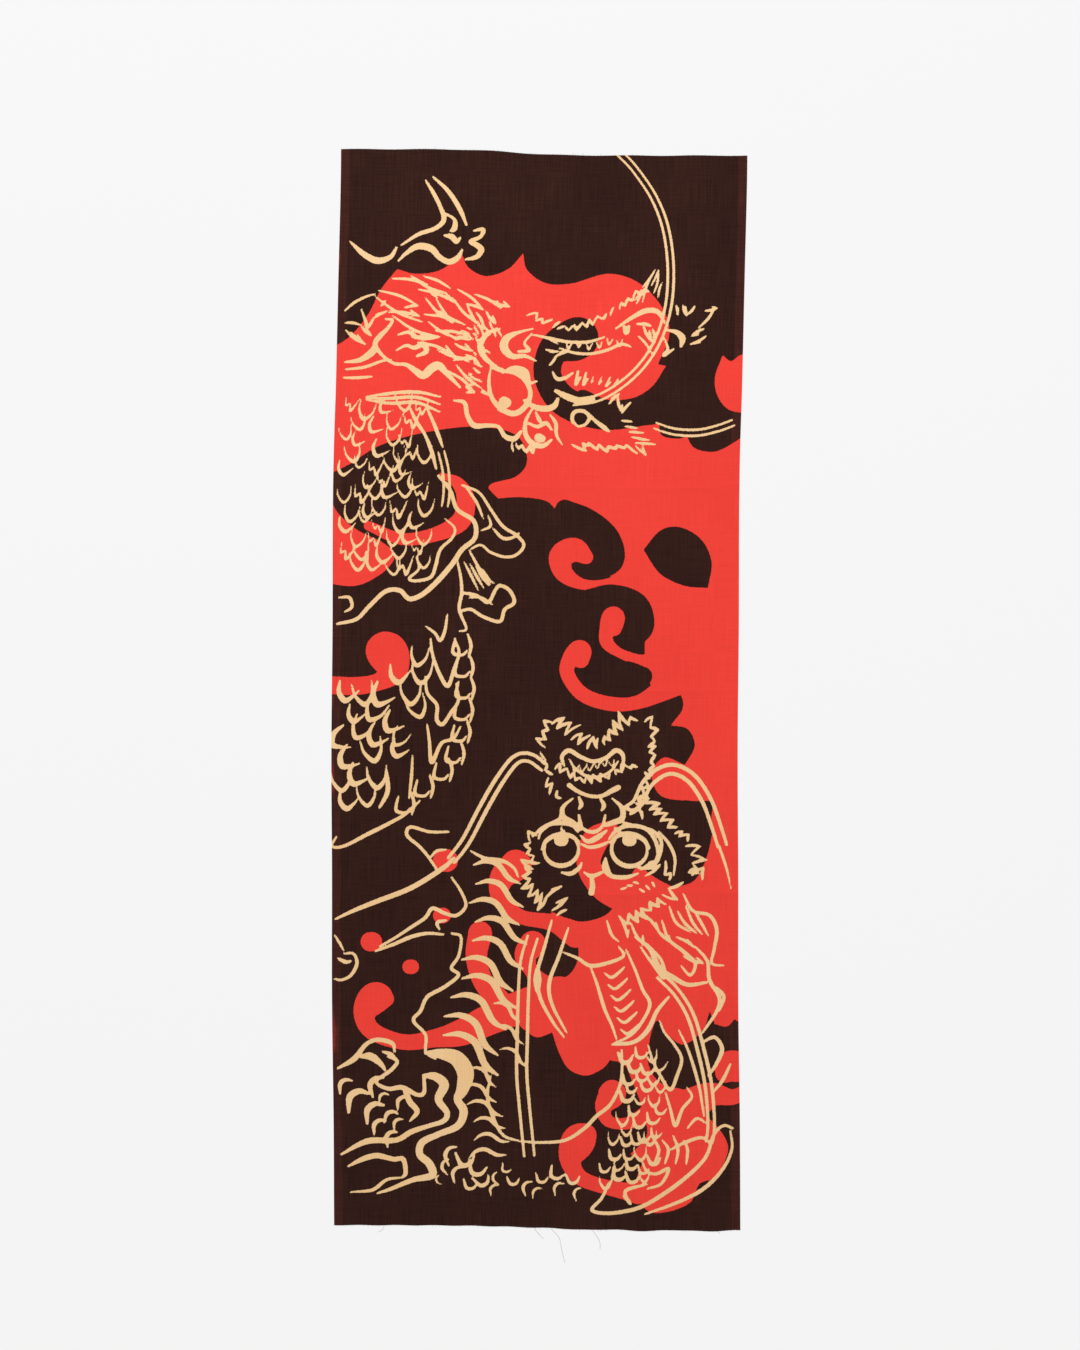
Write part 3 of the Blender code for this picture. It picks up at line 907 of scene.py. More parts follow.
def foot_waves(c):
    """Rocks and running water at the foot: wide bands on the left, and ticks of spray."""
    inked(c, [(-92, -303, 3.0), (-78, -304, 9.0), (-66, -308, 13.0), (-59, -320, 14.0),
              (-62, -334, 10.0), (-66, -342, 6.5), (-61, -352, 7.0), (-66, -364, 6.0), (-82, -371, 5.0),
              (-96, -378, 6.0), (-98, -388, 6.0), (-90, -396, 6.6), (-88, -406, 6.4),
              (-104, -410, 4.4), (-122, -418, 3.4), (-134, -422, 1.6)])
    inked(c, [(-94, -322, 3.0), (-84, -323, 7.0), (-77, -330, 8.0), (-82, -342, 6.4), (-75, -353, 5.0),
              (-78, -360, 4.2), (-90, -364, 3.6), (-105, -369, 4.4), (-118, -376, 4.4),
              (-142, -377, 4.8), (-164, -388, 1.8)])
    inked(c, [(-94, -322, 2.6), (-94, -336, 3.4), (-100, -338, 3.4), (-112, -332, 4.0),
              (-124, -333, 3.4), (-134, -327, 2.6), (-122, -318, 3.2), (-116, -310, 3.0),
              (-124, -306, 1.8)])
    inked(c, [(-110, -334, 4.0), (-106, -344, 5.0), (-100, -352, 4.4), (-106, -360, 1.8)])
    inked(c, [(-166, -316, 1.8), (-152, -308, 4.6), (-142, -296, 3.4), (-132, -292, 3.6),
              (-120, -295, 3.6), (-118, -302, 1.8)])
    inked(c, [(-146, -306, 3.0), (-138, -306, 6.4), (-130, -312, 4.4), (-126, -318, 1.8)])
    inked(c, [(-128, -302, 1.8), (-122, -304, 3.6), (-117, -308, 2.0)])
    inked(c, [(-158, -398, 1.8), (-146, -392, 4.2), (-134, -389, 4.6), (-120, -392, 4.0),
              (-112, -392, 4.0), (-110, -404, 3.6), (-113, -408, 2.0)])
    inked(c, [(-156, -421, 1.4), (-138, -419, 3.0), (-126, -410, 2.8), (-114, -408, 1.6)])
    marks(c, [SPRAY], [(-160, -330, 13, 10), (-150, -342, 20, 6), (-134, -330, 16, 24),
                       (-128, -340, 9, 0), (-112, -344, 12, 8), (-136, -352, 18, 10),
                       (-122, -356, 12, -6), (-132, -364, 13, 12), (-116, -362, 10, 10),
                       (-122, -374, 13, 20)])
    marks(c, [lighter(SPRAY, 0.8), lighter(TICK, 0.8)], [
        (-72, -388, 15, 30), (-60, -392, 16, 10), (-76, -398, 12, 50), (-50, -400, 16, -4),
        (-66, -404, 14, 20), (-46, -410, 14, 30), (-82, -410, 8, 70), (-56, -414, 12, 0),
        (-34, -408, 10, 60), (-26, -400, 9, -20), (-36, -418, 10, 20), (-20, -410, 11, 10),
        (-8, -416, 12, 30), (4, -408, 11, 0), (0, -420, 10, 10), (16, -404, 13, -20),
        (18, -416, 11, 16), (30, -408, 12, 10), (34, -420, 10, 30),
    ])


draw("rocks and water at the foot", foot_waves)


# %% Two long whiskers


def long_lines(c):
    """Two long whiskers of the upper head, each a pair of fine lines."""
    pair(c, [(63, 452), (76, 438), (92, 414), (103, 386), (108, 352), (106, 318), (96, 288), (78, 264),
             (52, 246), (26, 241)], 5.0, 2.3)
    inked(c, [(14, 251, 3.0), (24, 246, 5.4), (34, 243, 5.0), (46, 244, 3.0)])
    pair(c, [(98, 222), (114, 217), (134, 216), (152, 220), (165, 225)], 5.0, 2.2)


draw("two long whiskers", long_lines)


# %% [markdown]
# ## The cloth in space
#
# A cloth that has been folded never lies quite flat again. Each crease stays as a low ridge or
# a shallow trough, soft waves run between them, and the cut ends are not quite square to the
# sides. A simulation would lose the creases, so the shape is written as a formula: one height
# and one small sideways shift for every flat place.

# %% Where a flat place ends up
# The creases from the top down, in mm. A height below 0 is a trough. They stay low, because the
# layers of the folded cloth lie only 1 mm apart and must clear each other.
CREASE_HEIGHTS = (0.16, 0.38, 0.32, 0.45, -0.10)
CREASE_FLANKS = (5.0, 5.0, 2.4, 5.0, 4.0)
LIE_AT_ENDS = 0.10
LIE_IN_MIDDLE = 0.26
CALM_FROM = 225.0
CALM_WIDTH = 50.0
CALM_SHARE = 0.35
CREASE_TIP = 0.5
CUT_REACH = 60.0
DENT_DEPTH = 0.28
DENT_WIDTH = 5.0
PRESSED_SHARE = 0.7
PRESSED_WIDTH = 7.0
LOWEST_RISE = 0.02


def ease(t):
    """A smooth step from 0 to 1: 3t^2 - 2t^3, held flat outside 0 to 1."""
    t = np.clip(t, 0, 1)
    return t * t * (3 - 2 * t)


def lean(y):
    """How far a row lies to the right: the top end bears right, and the middle a little left."""
    return 5.4 * ease((y - 180) / 270) - 2.3 * np.sin(np.pi * np.clip((250 - y) / 700, 0, 1))


def top_cut(x):
    """The top end's raw cut: its left part runs higher, with a gentle step down to the right."""
    return HALF_LENGTH + 0.6 - 2.7 * np.tanh((x + 26) / 36) + 0.25 * np.sin(x / 9)


def bottom_cut(x):
    """The bottom end's raw cut: it falls to the right, and is a little wavy there."""
    waves = 0.45 * np.sin(x / 8.5 + 0.6) * ease((x + 20) / 80)
    return -HALF_LENGTH + 0.4 - 2.4 * np.tanh((x - 5) / 60) + waves + 0.2 * np.sin(x / 5)


def shift_ends(x, y):
    """How far a place moves along the cloth, so that the ends follow their cuts."""
    up = ease((y - HALF_LENGTH + CUT_REACH) / CUT_REACH) * (top_cut(x) - HALF_LENGTH)
    down = ease((-y - HALF_LENGTH + CUT_REACH) / CUT_REACH) * (bottom_cut(x) + HALF_LENGTH)
    return up + down


def crease_relief(x, y):
    """The pressed creases: each a crest with straight flanks, worn soft at its tip.

    The crest is h exp(-d / flank), with d = sqrt(distance^2 + tip^2), and it wanders a little.
    """
    height = np.zeros_like(x)
    for k, (at, tall, flank) in enumerate(zip(crease_at, CREASE_HEIGHTS, CREASE_FLANKS)):
        line = at + 0.5 * np.sin(x / 31 + k) + 0.25 * np.sin(x / 11 + 2 * k)
        off = np.hypot(y - line, CREASE_TIP)
        patchy = 0.8 + 0.2 * np.sin(x / 23 + 1.7 * k)
        height += tall * patchy * np.exp(-off / flank)
    return height


def soft_waves(x, y):
    """Low waves left by folding and handling: a few long slanting ripples added together."""
    height = 0.10 * np.sin((x + 0.55 * y) / 17 + 1.1 * np.sin(y / 60))
    height += 0.12 * np.sin((y - 0.35 * x) / 27 + 0.8 * np.sin(x / 45))
    height += 0.05 * np.sin((x - 0.8 * y) / 9.5 + 1.3 * np.sin(x / 30) + np.sin(y / 37))
    return height * (0.6 + 0.4 * np.sin(x / 70 + y / 110))


def fold_marks(x, y):
    """Three short curved dents from handling: each is a narrow trough along an arc."""
    height = np.zeros_like(x)
    for cx, cy, radius, turn, reach in (
        (-118.0, 340.0, 62.0, 2.35, 0.55),
        (-2.0, 65.0, 80.0, 2.5, 0.4),
        (-5.0, -138.0, 78.0, 2.5, 0.4),
    ):
        away = np.hypot(x - cx, y - cy) - radius
        angle = np.arctan2(y - cy, x - cx) - turn
        height -= DENT_DEPTH * np.exp(-((away / DENT_WIDTH) ** 2)) * np.exp(-((angle / reach) ** 2))
    return height


def loose_share(y):
    """How freely the cloth lies: 1 in the middle, falling to 0 towards the two end flaps."""
    return ease((CALM_FROM - np.abs(y)) / CALM_WIDTH)


def pressed_flat(y):
    """What is left of the waves: a pressed crease holds the cloth beside it flatter."""
    away = np.min([np.abs(y - at) for at in crease_at], axis=0)
    return 1 - PRESSED_SHARE * np.exp(-((away / PRESSED_WIDTH) ** 2))


def relief(x, y):
    """The height of the cloth's middle above where it would lie flat, never below zero.

    An end flap folds down with little room under it, so the cloth lies flatter there.
    """
    loose = loose_share(y)
    lie = LIE_AT_ENDS + (LIE_IN_MIDDLE - LIE_AT_ENDS) * loose
    freedom = CALM_SHARE + (1 - CALM_SHARE) * loose
    handled = (soft_waves(x, y) + fold_marks(x, y)) * freedom * pressed_flat(y)
    return np.maximum(lie + crease_relief(x, y) + handled, LOWEST_RISE)


def laid(x, y):
    """The place in space of each flat place, in mm: (x, y, z of the cloth's middle)."""
    return np.stack(
        [x + lean(y) + 0.25 * np.sin(y / 33), y + shift_ends(x, y), THICKNESS / 2 + relief(x, y)], -1
    )


sheet_place = laid(GX, GY)
print(f"relief from {sheet_place[..., 2].min():.2f} to {sheet_place[..., 2].max():.2f} mm")


# %% Half the cloth's thickness at each place
SELVEDGE = 7.5
SELVEDGE_EXTRA = 0.3
SELVEDGE_STEP = 1.5


def half_thickness(x):
    """Half the thickness across the cloth: the selvedges are a little thicker."""
    in_selvedge = ease((np.abs(x) - HALF_WIDTH + SELVEDGE) / SELVEDGE_STEP)
    return THICKNESS / 2 * (1 + SELVEDGE_EXTRA * in_selvedge)


# %% [markdown]
# ## Making the pieces
#
# The cloth is one piece, but a piece here can bend at only one crease. So the surface is cut
# along lines in the middle of the panels, where nothing bends, into five lengths that each
# cross one crease. They share the same points along the cuts, so no seam shows. Each is a
# closed shell: a printed front, a back with the same print seen through, and thin walls.

# %% A closed shell from a block of the grid
UV_MARGIN = 0.004
UV_HALF_WIDTH = 0.488
UV_BACK_START = 0.504
SHARP_ANGLE = 50


def new_object(name, vertices, faces, material):
    """A mesh object from vertices in metres and faces that all have the same number of sides."""
    mesh = bpy.data.meshes.new(name)
    mesh.vertices.add(len(vertices))
    mesh.vertices.foreach_set("co", vertices.astype(np.float32).ravel())
    mesh.loops.add(faces.size)
    mesh.loops.foreach_set("vertex_index", faces.astype(np.int32).ravel())
    mesh.polygons.add(len(faces))
    mesh.polygons.foreach_set("loop_start", np.arange(0, faces.size, faces.shape[1], dtype=np.int32))
    mesh.polygons.foreach_set("loop_total", np.full(len(faces), faces.shape[1], dtype=np.int32))
    mesh.update(calc_edges=True)
    mesh.validate()
    mesh.materials.append(material)
    item = bpy.data.objects.new(name, mesh)
    bpy.context.scene.collection.objects.link(item)
    return item


def ring_of(rows, columns):
    """The indices of a block's border points, once round, anticlockwise from above."""
    index = np.arange(rows * columns).reshape(rows, columns)
    return np.r_[index[0], index[1:, -1], index[-1, -2::-1], index[-2:0:-1, 0]]


def shell_faces(rows, columns):
    """Quads for the front, the back turned over, and the walls between their borders."""
    index = np.arange(rows * columns).reshape(rows, columns)
    front = np.stack(
        [index[:-1, :-1], index[:-1, 1:], index[1:, 1:], index[1:, :-1]], -1
    ).reshape(-1, 4)
    back = front[:, ::-1] + rows * columns
    ring = ring_of(rows, columns)
    after = np.roll(ring, -1)
    walls = np.stack([ring, ring + rows * columns, after + rows * columns, after], -1)
    return np.concatenate([front, back, walls])


def add_attribute(mesh, name, values):
    """Stores a number or a vector at each point of a mesh."""
    kind = "FLOAT" if values.ndim == 1 else "FLOAT_VECTOR"
    key = "value" if values.ndim == 1 else "vector"
    mesh.attributes.new(name, kind, "POINT").data.foreach_set(key, values.astype(np.float32).ravel())


def add_flat_uv(mesh, flat, is_back):
    """A flat UV map: the front fills the left half of the square, and the back the right half."""
    low, size = flat.min(0), np.ptp(flat, axis=0)
    place = (flat - low) / size
    place[:, 0] = UV_MARGIN + UV_HALF_WIDTH * place[:, 0] + UV_BACK_START * is_back
    place[:, 1] = UV_MARGIN + (1 - 2 * UV_MARGIN) * place[:, 1]
    corner = np.zeros(len(mesh.loops), np.int32)
    mesh.loops.foreach_get("vertex_index", corner)
    layer = mesh.uv_layers.new(name="OFBake")
    layer.data.foreach_set("uv", place[corner].astype(np.float32).ravel())


def cloth_length(name, low_row, high_row, material):
    """The shell of the rows from low_row to high_row, with its print and flat places."""
    block = slice(low_row, high_row + 1)
    middle = sheet_place[block].reshape(-1, 3)
    half = half_thickness(GX[block]).reshape(-1, 1) * (0, 0, 1)
    rows = high_row + 1 - low_row
    piece = new_object(
        name,
        np.concatenate([middle + half, middle - half]) * MM,
        shell_faces(rows, len(xs)),
        material,
    )
    mesh = piece.data
    flat = np.stack([GX[block], GY[block]], -1).reshape(-1, 2)
    both = np.concatenate([flat, flat])
    is_back = np.repeat([0.0, 1.0], len(flat))
    add_attribute(mesh, "flat_place", np.c_[both * MM, is_back * MM])
    add_attribute(mesh, "red_ink", np.tile(red_ink[block].ravel(), 2))
    add_attribute(mesh, "cream_ink", np.tile(cream_ink[block].ravel(), 2))
    add_attribute(mesh, "across", both[:, 0])
    add_flat_uv(mesh, both, is_back)
    mesh.shade_smooth()
    mesh.set_sharp_from_angle(angle=np.radians(SHARP_ANGLE))
    return piece


# %% [markdown]
# ## Dyed cotton
#
# The print is held on the grid as two distances, to the nearest edge of the red and of the
# cream, and the material cuts them at zero. That keeps the edges crisp at any size. Each edge
# is nudged by fine noise, because dye creeps along the yarns. The weave itself is a fine bump
# of warp and weft, with slubs: yarns that are a little thick or thin for part of their length.

# %% Colours, as linear light
DARK = (0.0290, 0.0098, 0.0072)
DARK_WARM = (0.0350, 0.0115, 0.0080)
RED = (0.880, 0.056, 0.040)
RED_DEEP = (0.740, 0.036, 0.028)
CREAM = (0.870, 0.560, 0.270)
CREAM_PALE = (0.900, 0.605, 0.320)
SELVEDGE_TINT = (0.056, 0.0155, 0.0110)
SMEAR = (0.300, 0.030, 0.022)


# %% Small helpers for material nodes
MIX_SHARE, MIX_FIRST, MIX_SECOND, MIX_RESULT = 0, 6, 7, 2


def node(tree, kind, **settings):
    """A new node with its properties set by name."""
    item = tree.nodes.new(kind)
    for name, value in settings.items():
        setattr(item, name, value)
    return item


def wire(tree, source, target):
    """Joins an output to an input."""
    tree.links.new(source, target)


def attribute(tree, name, output):
    """An output of the node that reads a mesh attribute."""
    return node(tree, "ShaderNodeAttribute", attribute_name=name).outputs[output]


def maths(tree, operation, first, second=None, third=None):
    """The result of a sum on numbers or outputs."""
    item = node(tree, "ShaderNodeMath", operation=operation)
    for slot, value in zip(item.inputs, (first, second, third)):
        if value is None:
            continue
        if isinstance(value, (int, float)):
            slot.default_value = value
        else:
            wire(tree, value, slot)
    return item.outputs[0]


def between(tree, value, low, high, out_low=0.0, out_high=1.0, smooth=True):
    """A value from one range carried smoothly to another."""
    kind = "SMOOTHSTEP" if smooth else "LINEAR"
    item = node(tree, "ShaderNodeMapRange", interpolation_type=kind)
    wire(tree, value, item.inputs["Value"])
    for name, number in (
        ("From Min", low),
        ("From Max", high),
        ("To Min", out_low),
        ("To Max", out_high),
    ):
        item.inputs[name].default_value = number
    return item.outputs["Result"]


def blended(tree, share, first, second):
    """Two colours mixed by a share. The node has sockets for each data type: these are colour's."""
    item = node(tree, "ShaderNodeMix", data_type="RGBA")
    wire(tree, share, item.inputs[MIX_SHARE])
    for number, value in ((MIX_FIRST, first), (MIX_SECOND, second)):
        if isinstance(value, tuple):
            item.inputs[number].default_value = (*value, 1.0)
        else:
            wire(tree, value, item.inputs[number])
    return item.outputs[MIX_RESULT]


def noise(tree, place, stretch, detail=2.0, roughness=0.5):
    """Noise whose grains are 1 / stretch metres in size along x, y and z."""
    mapping = node(tree, "ShaderNodeMapping")
    mapping.inputs["Scale"].default_value = stretch
    wire(tree, place, mapping.inputs["Vector"])
    item = node(tree, "ShaderNodeTexNoise")
    item.inputs["Scale"].default_value = 1.0
    item.inputs["Detail"].default_value = detail
    item.inputs["Roughness"].default_value = roughness
    wire(tree, mapping.outputs["Vector"], item.inputs["Vector"])
    return item.outputs["Fac"]


def yarns(tree, place, axis, pitch):
    """Rounded ridges along one axis, pitch metres apart: one for each yarn."""
    split = node(tree, "ShaderNodeSeparateXYZ")
    wire(tree, place, split.inputs[0])
    turns = maths(tree, "MULTIPLY", split.outputs[axis], 2 * np.pi / pitch)
    return maths(tree, "SINE", turns)


# %% The printed cotton
CREEP = 0.22
RED_SOFTNESS = 0.16
CREAM_SOFTNESS = 0.14
DARK_SLUBS = 4.8
WARP_SPACING = 0.00046
WEFT_SPACING = 0.00050
WEAVE_DEPTH = 0.00006


def printed_cotton():
    """The dyed cloth: edges cut from the distances, then selvedges, slubs and a bump of the weave."""
    material = bpy.data.materials.new("printed_cotton")
    material.use_nodes = True
    tree = material.node_tree
    shader = tree.nodes["Principled BSDF"]
    place = attribute(tree, "flat_place", "Vector")

    creep = noise(tree, place, (900, 900, 900), 2.0)
    creep_size = between(tree, creep, 0.3, 0.7, -CREEP, CREEP, smooth=False)
    red_edge = maths(tree, "ADD", attribute(tree, "red_ink", "Fac"), creep_size)
    cream_edge = maths(tree, "ADD", attribute(tree, "cream_ink", "Fac"), creep_size)
    red_share = between(tree, red_edge, -RED_SOFTNESS, RED_SOFTNESS, 1.0, 0.0)
    cream_share = between(tree, cream_edge, -CREAM_SOFTNESS, CREAM_SOFTNESS, 1.0, 0.0)

    clouds = noise(tree, place, (14, 9, 14), 3.0)
    warp_slubs = noise(tree, place, (1000, 30, 1000), 3.0, 0.6)
    weft_slubs = noise(tree, place, (34, 1000, 1000), 3.0, 0.6)
    patches = between(tree, clouds, 0.35, 0.65, 0.0, 1.0)
    dark = blended(tree, patches, DARK, DARK_WARM)
    red = blended(tree, maths(tree, "MULTIPLY", patches, 0.16), RED, RED_DEEP)
    cream = blended(tree, patches, CREAM, CREAM_PALE)

    across = attribute(tree, "across", "Fac")
    from_side = maths(tree, "SUBTRACT", HALF_WIDTH, maths(tree, "ABSOLUTE", across))
    in_selvedge = between(tree, from_side, 6.6, 7.8, 0.75, 0.0)
    dark = blended(tree, in_selvedge, dark, SELVEDGE_TINT)
    runs = between(tree, noise(tree, place, (120, 16, 120), 2.0), 0.60, 0.70)
    near_side = between(tree, from_side, 1.0, 6.0, 0.7, 0.0)
    dark = blended(tree, maths(tree, "MULTIPLY", runs, near_side), dark, SMEAR)

    colour = blended(tree, red_share, dark, red)
    colour = blended(tree, cream_share, colour, cream)
    warp_tone = between(tree, warp_slubs, 0.2, 0.8, -0.09, 0.09, smooth=False)
    weft_tone = between(tree, weft_slubs, 0.2, 0.8, -0.06, 0.06, smooth=False)
    slubs = maths(tree, "ADD", warp_tone, weft_tone)
    dyed_bright = maths(tree, "MAXIMUM", red_share, cream_share)
    amount = between(tree, dyed_bright, 0.0, 1.0, DARK_SLUBS, 1.0, smooth=False)
    tone = maths(tree, "MULTIPLY_ADD", slubs, amount, 1.0)
    scaled = node(tree, "ShaderNodeVectorMath", operation="SCALE")
    wire(tree, colour, scaled.inputs[0])
    wire(tree, tone, scaled.inputs["Scale"])
    wire(tree, scaled.outputs[0], shader.inputs["Base Color"])

    warp = yarns(tree, place, "X", WARP_SPACING)
    weft = yarns(tree, place, "Y", WEFT_SPACING)
    weave = maths(tree, "MULTIPLY", warp, weft)
    thick = maths(tree, "ADD", maths(tree, "MULTIPLY", weave, 0.5), maths(tree, "MULTIPLY", slubs, 9.0))
    bump = node(tree, "ShaderNodeBump")
    bump.inputs["Strength"].default_value = 0.35
    bump.inputs["Distance"].default_value = WEAVE_DEPTH
    wire(tree, thick, bump.inputs["Height"])
    wire(tree, bump.outputs["Normal"], shader.inputs["Normal"])

    shader.inputs["Roughness"].default_value = 0.88
    shader.inputs["Specular IOR Level"].default_value = 0.08
    return material


cotton = printed_cotton()
print("material:", cotton.name, "with", len(cotton.node_tree.nodes), "nodes")


# %% [markdown]
# ## Five lengths of cloth, each across one crease
#
# The surface is cut along the middles of the panels into five lengths, each across one crease.
# Each is built as a shell where it lies, and the frame's six panels are hidden in its stead.

# %% Cut the surface along the middles of the panels
LENGTH_NAMES = ("cloth_top_end", "cloth_upper", "cloth_middle", "cloth_lower", "cloth_bottom_end")
cuts = [HALF_LENGTH]
cuts += [(above + below) / 2 for above, below in zip(crease_at, crease_at[1:])]
cuts += [-HALF_LENGTH]
cut_rows = [int(np.argmin(np.abs(ys - y))) for y in cuts]

cloth_pieces = []
for k, name in enumerate(LENGTH_NAMES):
    piece = cloth_length(name, cut_rows[k + 1], cut_rows[k], cotton)
    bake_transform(piece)
    cloth_pieces.append(piece)

for k, piece in enumerate(cloth_pieces):
    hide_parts(PANELS[k])
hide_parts(PANELS[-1])


# %% [markdown]
# ## The cut ends
#
# Where a plain weave is cut and not hemmed, the last few weft yarns work out, and the warp
# yarns stand free for half a millimetre or so. Each is a thin spike here, with four faces, at
# the pitch of the warp. A few are longer, and each leans a little to one side.

# %% Yarn ends along a cut
WARP_PITCH = 0.5
YARN_RADIUS = 0.13
LONG_SHARE = 0.04


def yarn_spikes(name, material, outward, body, seed):
    """Slim tetrahedra along a cut: three points at the cloth's edge and one at the tip."""
    chance = np.random.default_rng(seed)
    x = np.arange(-HALF_WIDTH + 0.6, HALF_WIDTH - 0.5, WARP_PITCH)
    x = x + chance.uniform(-0.15, 0.15, len(x))
    long_one = chance.random(len(x)) < LONG_SHARE
    reach = np.where(long_one, chance.uniform(1.2, 2.6, len(x)), chance.uniform(0.15, 0.8, len(x)))
    edge = np.full(len(x), outward * HALF_LENGTH)
    root = laid(x, edge)
    sideways = chance.normal(0, 0.35, len(x)) * reach
    lift = chance.uniform(-0.1, 0.15, len(x))
    angle = np.radians([90, 210, 330])
    ring = np.stack([np.cos(angle), np.zeros(3), np.sin(angle)], -1) * YARN_RADIUS
    base = root[:, None, :] + ring[None] - (0, 0.35 * outward, 0)
    tip = root + np.stack([sideways, outward * reach, lift], -1)
    tip[:, 2] = np.maximum(tip[:, 2], 0.15)
    points = np.concatenate([base, tip[:, None, :]], 1).reshape(-1, 3) * MM
    sides = np.array([[0, 1, 3], [1, 2, 3], [2, 0, 3], [0, 2, 1]])
    if outward > 0:
        sides = sides[:, ::-1]
    faces = (np.arange(len(x))[:, None, None] * 4 + sides[None]).reshape(-1, 3)
    fringe = new_object(name, points, faces, material)
    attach(fringe, body)
    return fringe


def yarn_cotton(name, dark, pale, share):
    """Cotton yarn: two tones that change along it, matt, with a little sheen."""
    material = bpy.data.materials.new(name)
    material.use_nodes = True
    tree = material.node_tree
    shader = tree.nodes["Principled BSDF"]
    place = node(tree, "ShaderNodeTexCoord").outputs["Object"]
    tone = noise(tree, place, (700, 700, 700), 2.0)
    mixed = blended(tree, between(tree, tone, 0.5 - share, 0.5 + share), dark, pale)
    wire(tree, mixed, shader.inputs["Base Color"])
    shader.inputs["Roughness"].default_value = 0.9
    shader.inputs["Specular IOR Level"].default_value = 0.15
    shader.inputs["Sheen Weight"].default_value = 0.15
    return material


dyed_ends = yarn_cotton("dyed_yarn_ends", DARK, (0.16, 0.085, 0.06), 0.2)
top_fringe = yarn_spikes("yarn_ends_top", dyed_ends, 1, "top", 11)
bottom_fringe = yarn_spikes("yarn_ends_bottom", dyed_ends, -1, "bottom", 12)
print("yarn ends:", len(top_fringe.data.polygons) // 4, "and", len(bottom_fringe.data.polygons) // 4)


# %% [markdown]
# ## Loose yarns
#
# Five warp yarns have pulled out of the bottom end and lie on the table beside it. They lie
# where the frame has them, on the same points, as thin tubes. All but the longest start a
# little way inside the cloth, so that no gap shows at the wavy cut.

# %% Their routes, as steps in metres from where each leaves the cloth
YARN_EXIT_GAP = 0.0003
YARN_DIAMETER = 0.0003
YARN_INSIDE = 0.0035
LOOSE_YARNS = {
    "loose_yarn_long": (
        0.0113,
        ((0.0, 0.0), (0.0044, -0.0043), (0.0074, -0.0090), (0.0083, -0.0142),
         (0.0097, -0.0208), (0.0116, -0.0285)),
    ),
    "loose_yarn_middle": (
        0.0452,
        ((0.0, 0.0), (0.0026, -0.0036), (0.0049, -0.0072), (0.0070, -0.0113), (0.0072, -0.0170)),
    ),
    "loose_yarn_beside_long": (
        -0.0022,
        ((0.0, 0.0), (0.0021, -0.0030), (0.0048, -0.0060), (0.0072, -0.0084)),
    ),
    "loose_yarn_left": (-0.1292, ((0.0, 0.0), (-0.0018, -0.0016), (-0.0042, -0.0027))),
    "loose_yarn_right": (0.1493, ((0.0, 0.0), (0.0016, -0.0024), (0.0035, -0.0041))),
}


def loose_yarn(name, exit_x, steps, material):
    """A tube along a smooth line through the yarn's points."""
    exit_y = -HALF_LENGTH * MM - YARN_EXIT_GAP
    places = [(exit_x + x, exit_y + y) for x, y in steps]
    if name != "loose_yarn_long":
        places.insert(0, (exit_x - steps[1][0] * 0.4, exit_y + YARN_INSIDE))
    line = smooth_line(places, step=0.0006)
    curve = bpy.data.curves.new(name + "_visible", "CURVE")
    curve.dimensions = "3D"
    curve.bevel_depth = YARN_DIAMETER / 2
    curve.bevel_resolution = 2
    curve.use_fill_caps = True
    spline = curve.splines.new("POLY")
    spline.points.add(len(line) - 1)
    flat = np.full(len(line), THICKNESS / 2 * MM)
    spline.points.foreach_set("co", np.c_[line, flat, np.ones(len(line))].astype(np.float32).ravel())
    curve.materials.append(material)
    yarn = bpy.data.objects.new(name + "_visible", curve)
    bpy.context.scene.collection.objects.link(yarn)
    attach(yarn, "bottom")
    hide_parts(name)
    return yarn


undyed = yarn_cotton("loose_cotton_yarn", (0.36, 0.29, 0.22), (0.55, 0.47, 0.38), 0.15)
yarns_made = {name: loose_yarn(name, *facts, undyed) for name, facts in LOOSE_YARNS.items()}
print("loose yarns:", sorted(yarns_made))


# %% The yarn ends and loose yarns that go with the two end lengths
on_ends = {0: [top_fringe], len(cloth_pieces) - 1: [bottom_fringe]}
on_ends[len(cloth_pieces) - 1] += [y for n, y in yarns_made.items() if n != "loose_yarn_long"]


# %% [markdown]
# ## Floor, light and camera
#
# The cloth lies on a plain white surface under soft light that comes mostly from beyond its
# top end, so the creases show as thin light and dark lines. The camera looks straight down.

# %% The floor
FLOOR_SIZE = 12.0
FLOOR_GREY = 0.12
FLOOR_GLOW = 0.80
FLOOR_DROP = 0.00002


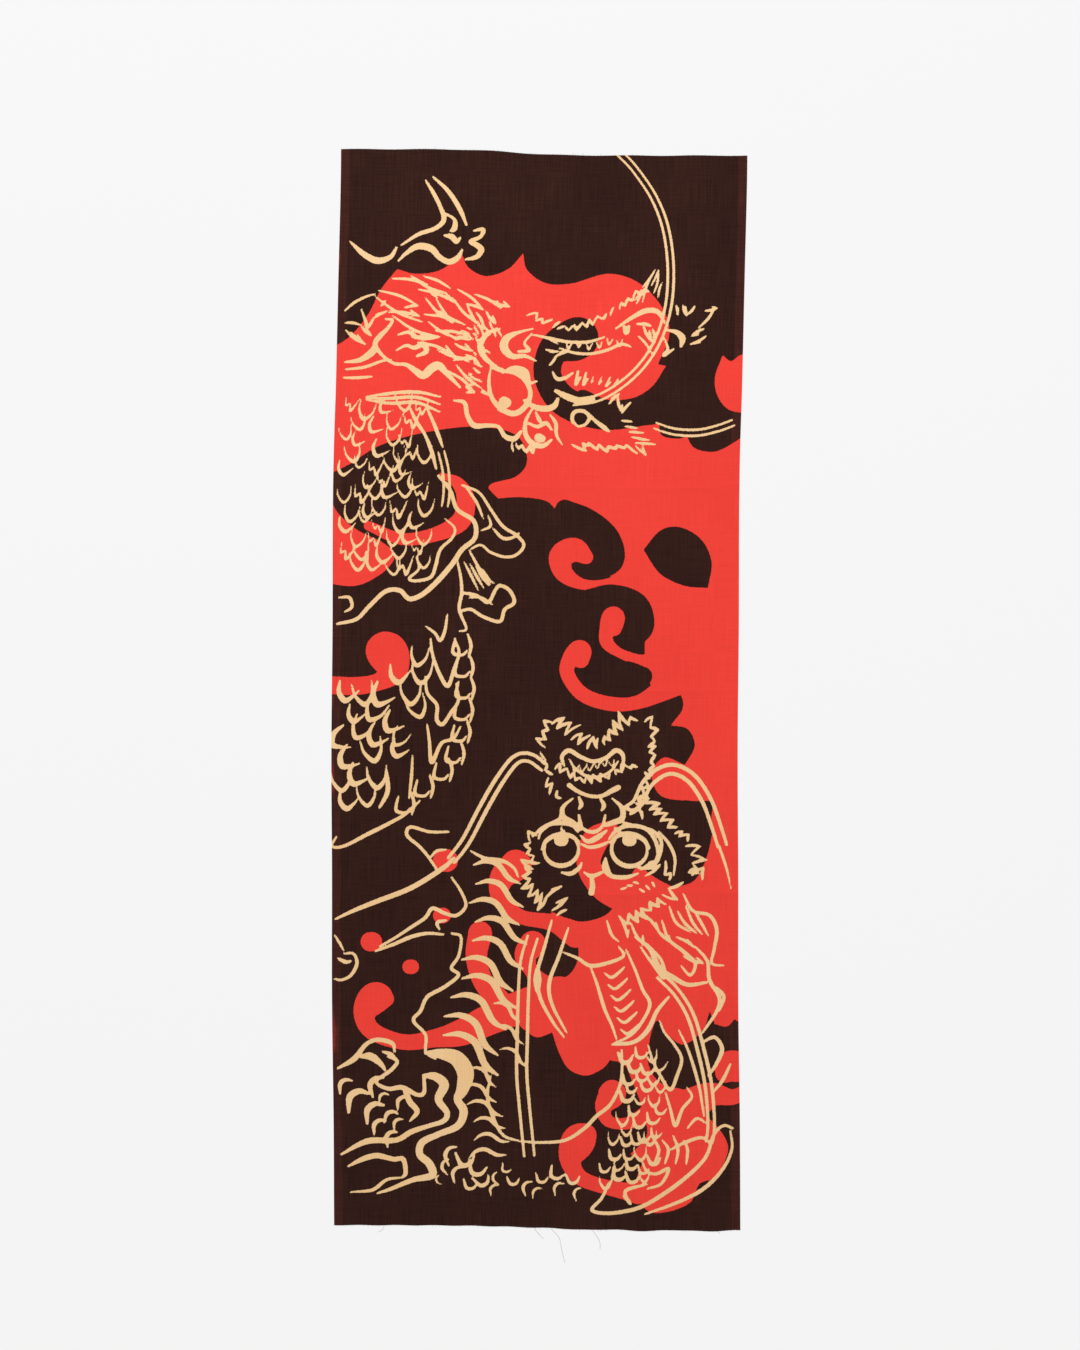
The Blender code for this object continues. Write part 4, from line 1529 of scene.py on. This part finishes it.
def white_floor():
    """A wide white surface that glows a little, so that it stays even, just under the cloth."""
    material = bpy.data.materials.new("white_floor")
    material.use_nodes = True
    shader = material.node_tree.nodes["Principled BSDF"]
    shader.inputs["Base Color"].default_value = (FLOOR_GREY, FLOOR_GREY, FLOOR_GREY, 1)
    shader.inputs["Roughness"].default_value = 1.0
    shader.inputs["Specular IOR Level"].default_value = 0.0
    shader.inputs["Emission Color"].default_value = (1, 1, 1, 1)
    shader.inputs["Emission Strength"].default_value = FLOOR_GLOW
    corners = np.array([(-1, -1, 0), (1, -1, 0), (1, 1, 0), (-1, 1, 0)]) * FLOOR_SIZE / 2
    floor = new_object("floor", corners, np.array([[0, 1, 2, 3]]), material)
    floor.location.z = -FLOOR_DROP
    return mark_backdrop(floor)


white_floor()


# %% The light
SKY_STRENGTH = 0.62
WINDOW_WATTS = 44
WINDOW_SIZE = (1.4, 0.9)
WINDOW_PLACE = (-0.3, 2.1, 1.7)


def soft_light():
    """An even sky, and a wide window beyond the cloth's top end."""
    world = bpy.data.worlds.new("studio")
    bpy.context.scene.world = world
    world.use_nodes = True
    background = world.node_tree.nodes["Background"]
    background.inputs["Color"].default_value = (1.0, 1.0, 1.0, 1)
    background.inputs["Strength"].default_value = SKY_STRENGTH
    lamp = bpy.data.lights.new("window", "AREA")
    lamp.shape = "RECTANGLE"
    lamp.size, lamp.size_y = WINDOW_SIZE
    lamp.energy = WINDOW_WATTS
    window = bpy.data.objects.new("window", lamp)
    window.location = WINDOW_PLACE
    aim = Vector((0, 0, 0)) - window.location
    window.rotation_euler = aim.to_track_quat("-Z", "Y").to_euler()
    bpy.context.scene.collection.objects.link(window)


soft_light()
bpy.context.scene.view_settings.view_transform = "Standard"


# %% The camera
LENS = 50.0
SENSOR = 24.0
VIEW_HEIGHT = 1.130
VIEW_CENTRE = (0.0021, 0.0132)


def camera_above():
    """A camera that looks straight down, as far up as its lens needs to see the view's height."""
    data = bpy.data.cameras.new("camera")
    data.sensor_fit = "VERTICAL"
    data.sensor_height = SENSOR
    data.lens = LENS
    camera = bpy.data.objects.new("camera", data)
    camera.location = (*VIEW_CENTRE, VIEW_HEIGHT * LENS / SENSOR)
    bpy.context.scene.collection.objects.link(camera)
    bpy.context.scene.camera = camera
    return camera


print("camera at", [round(v, 3) for v in camera_above().location])
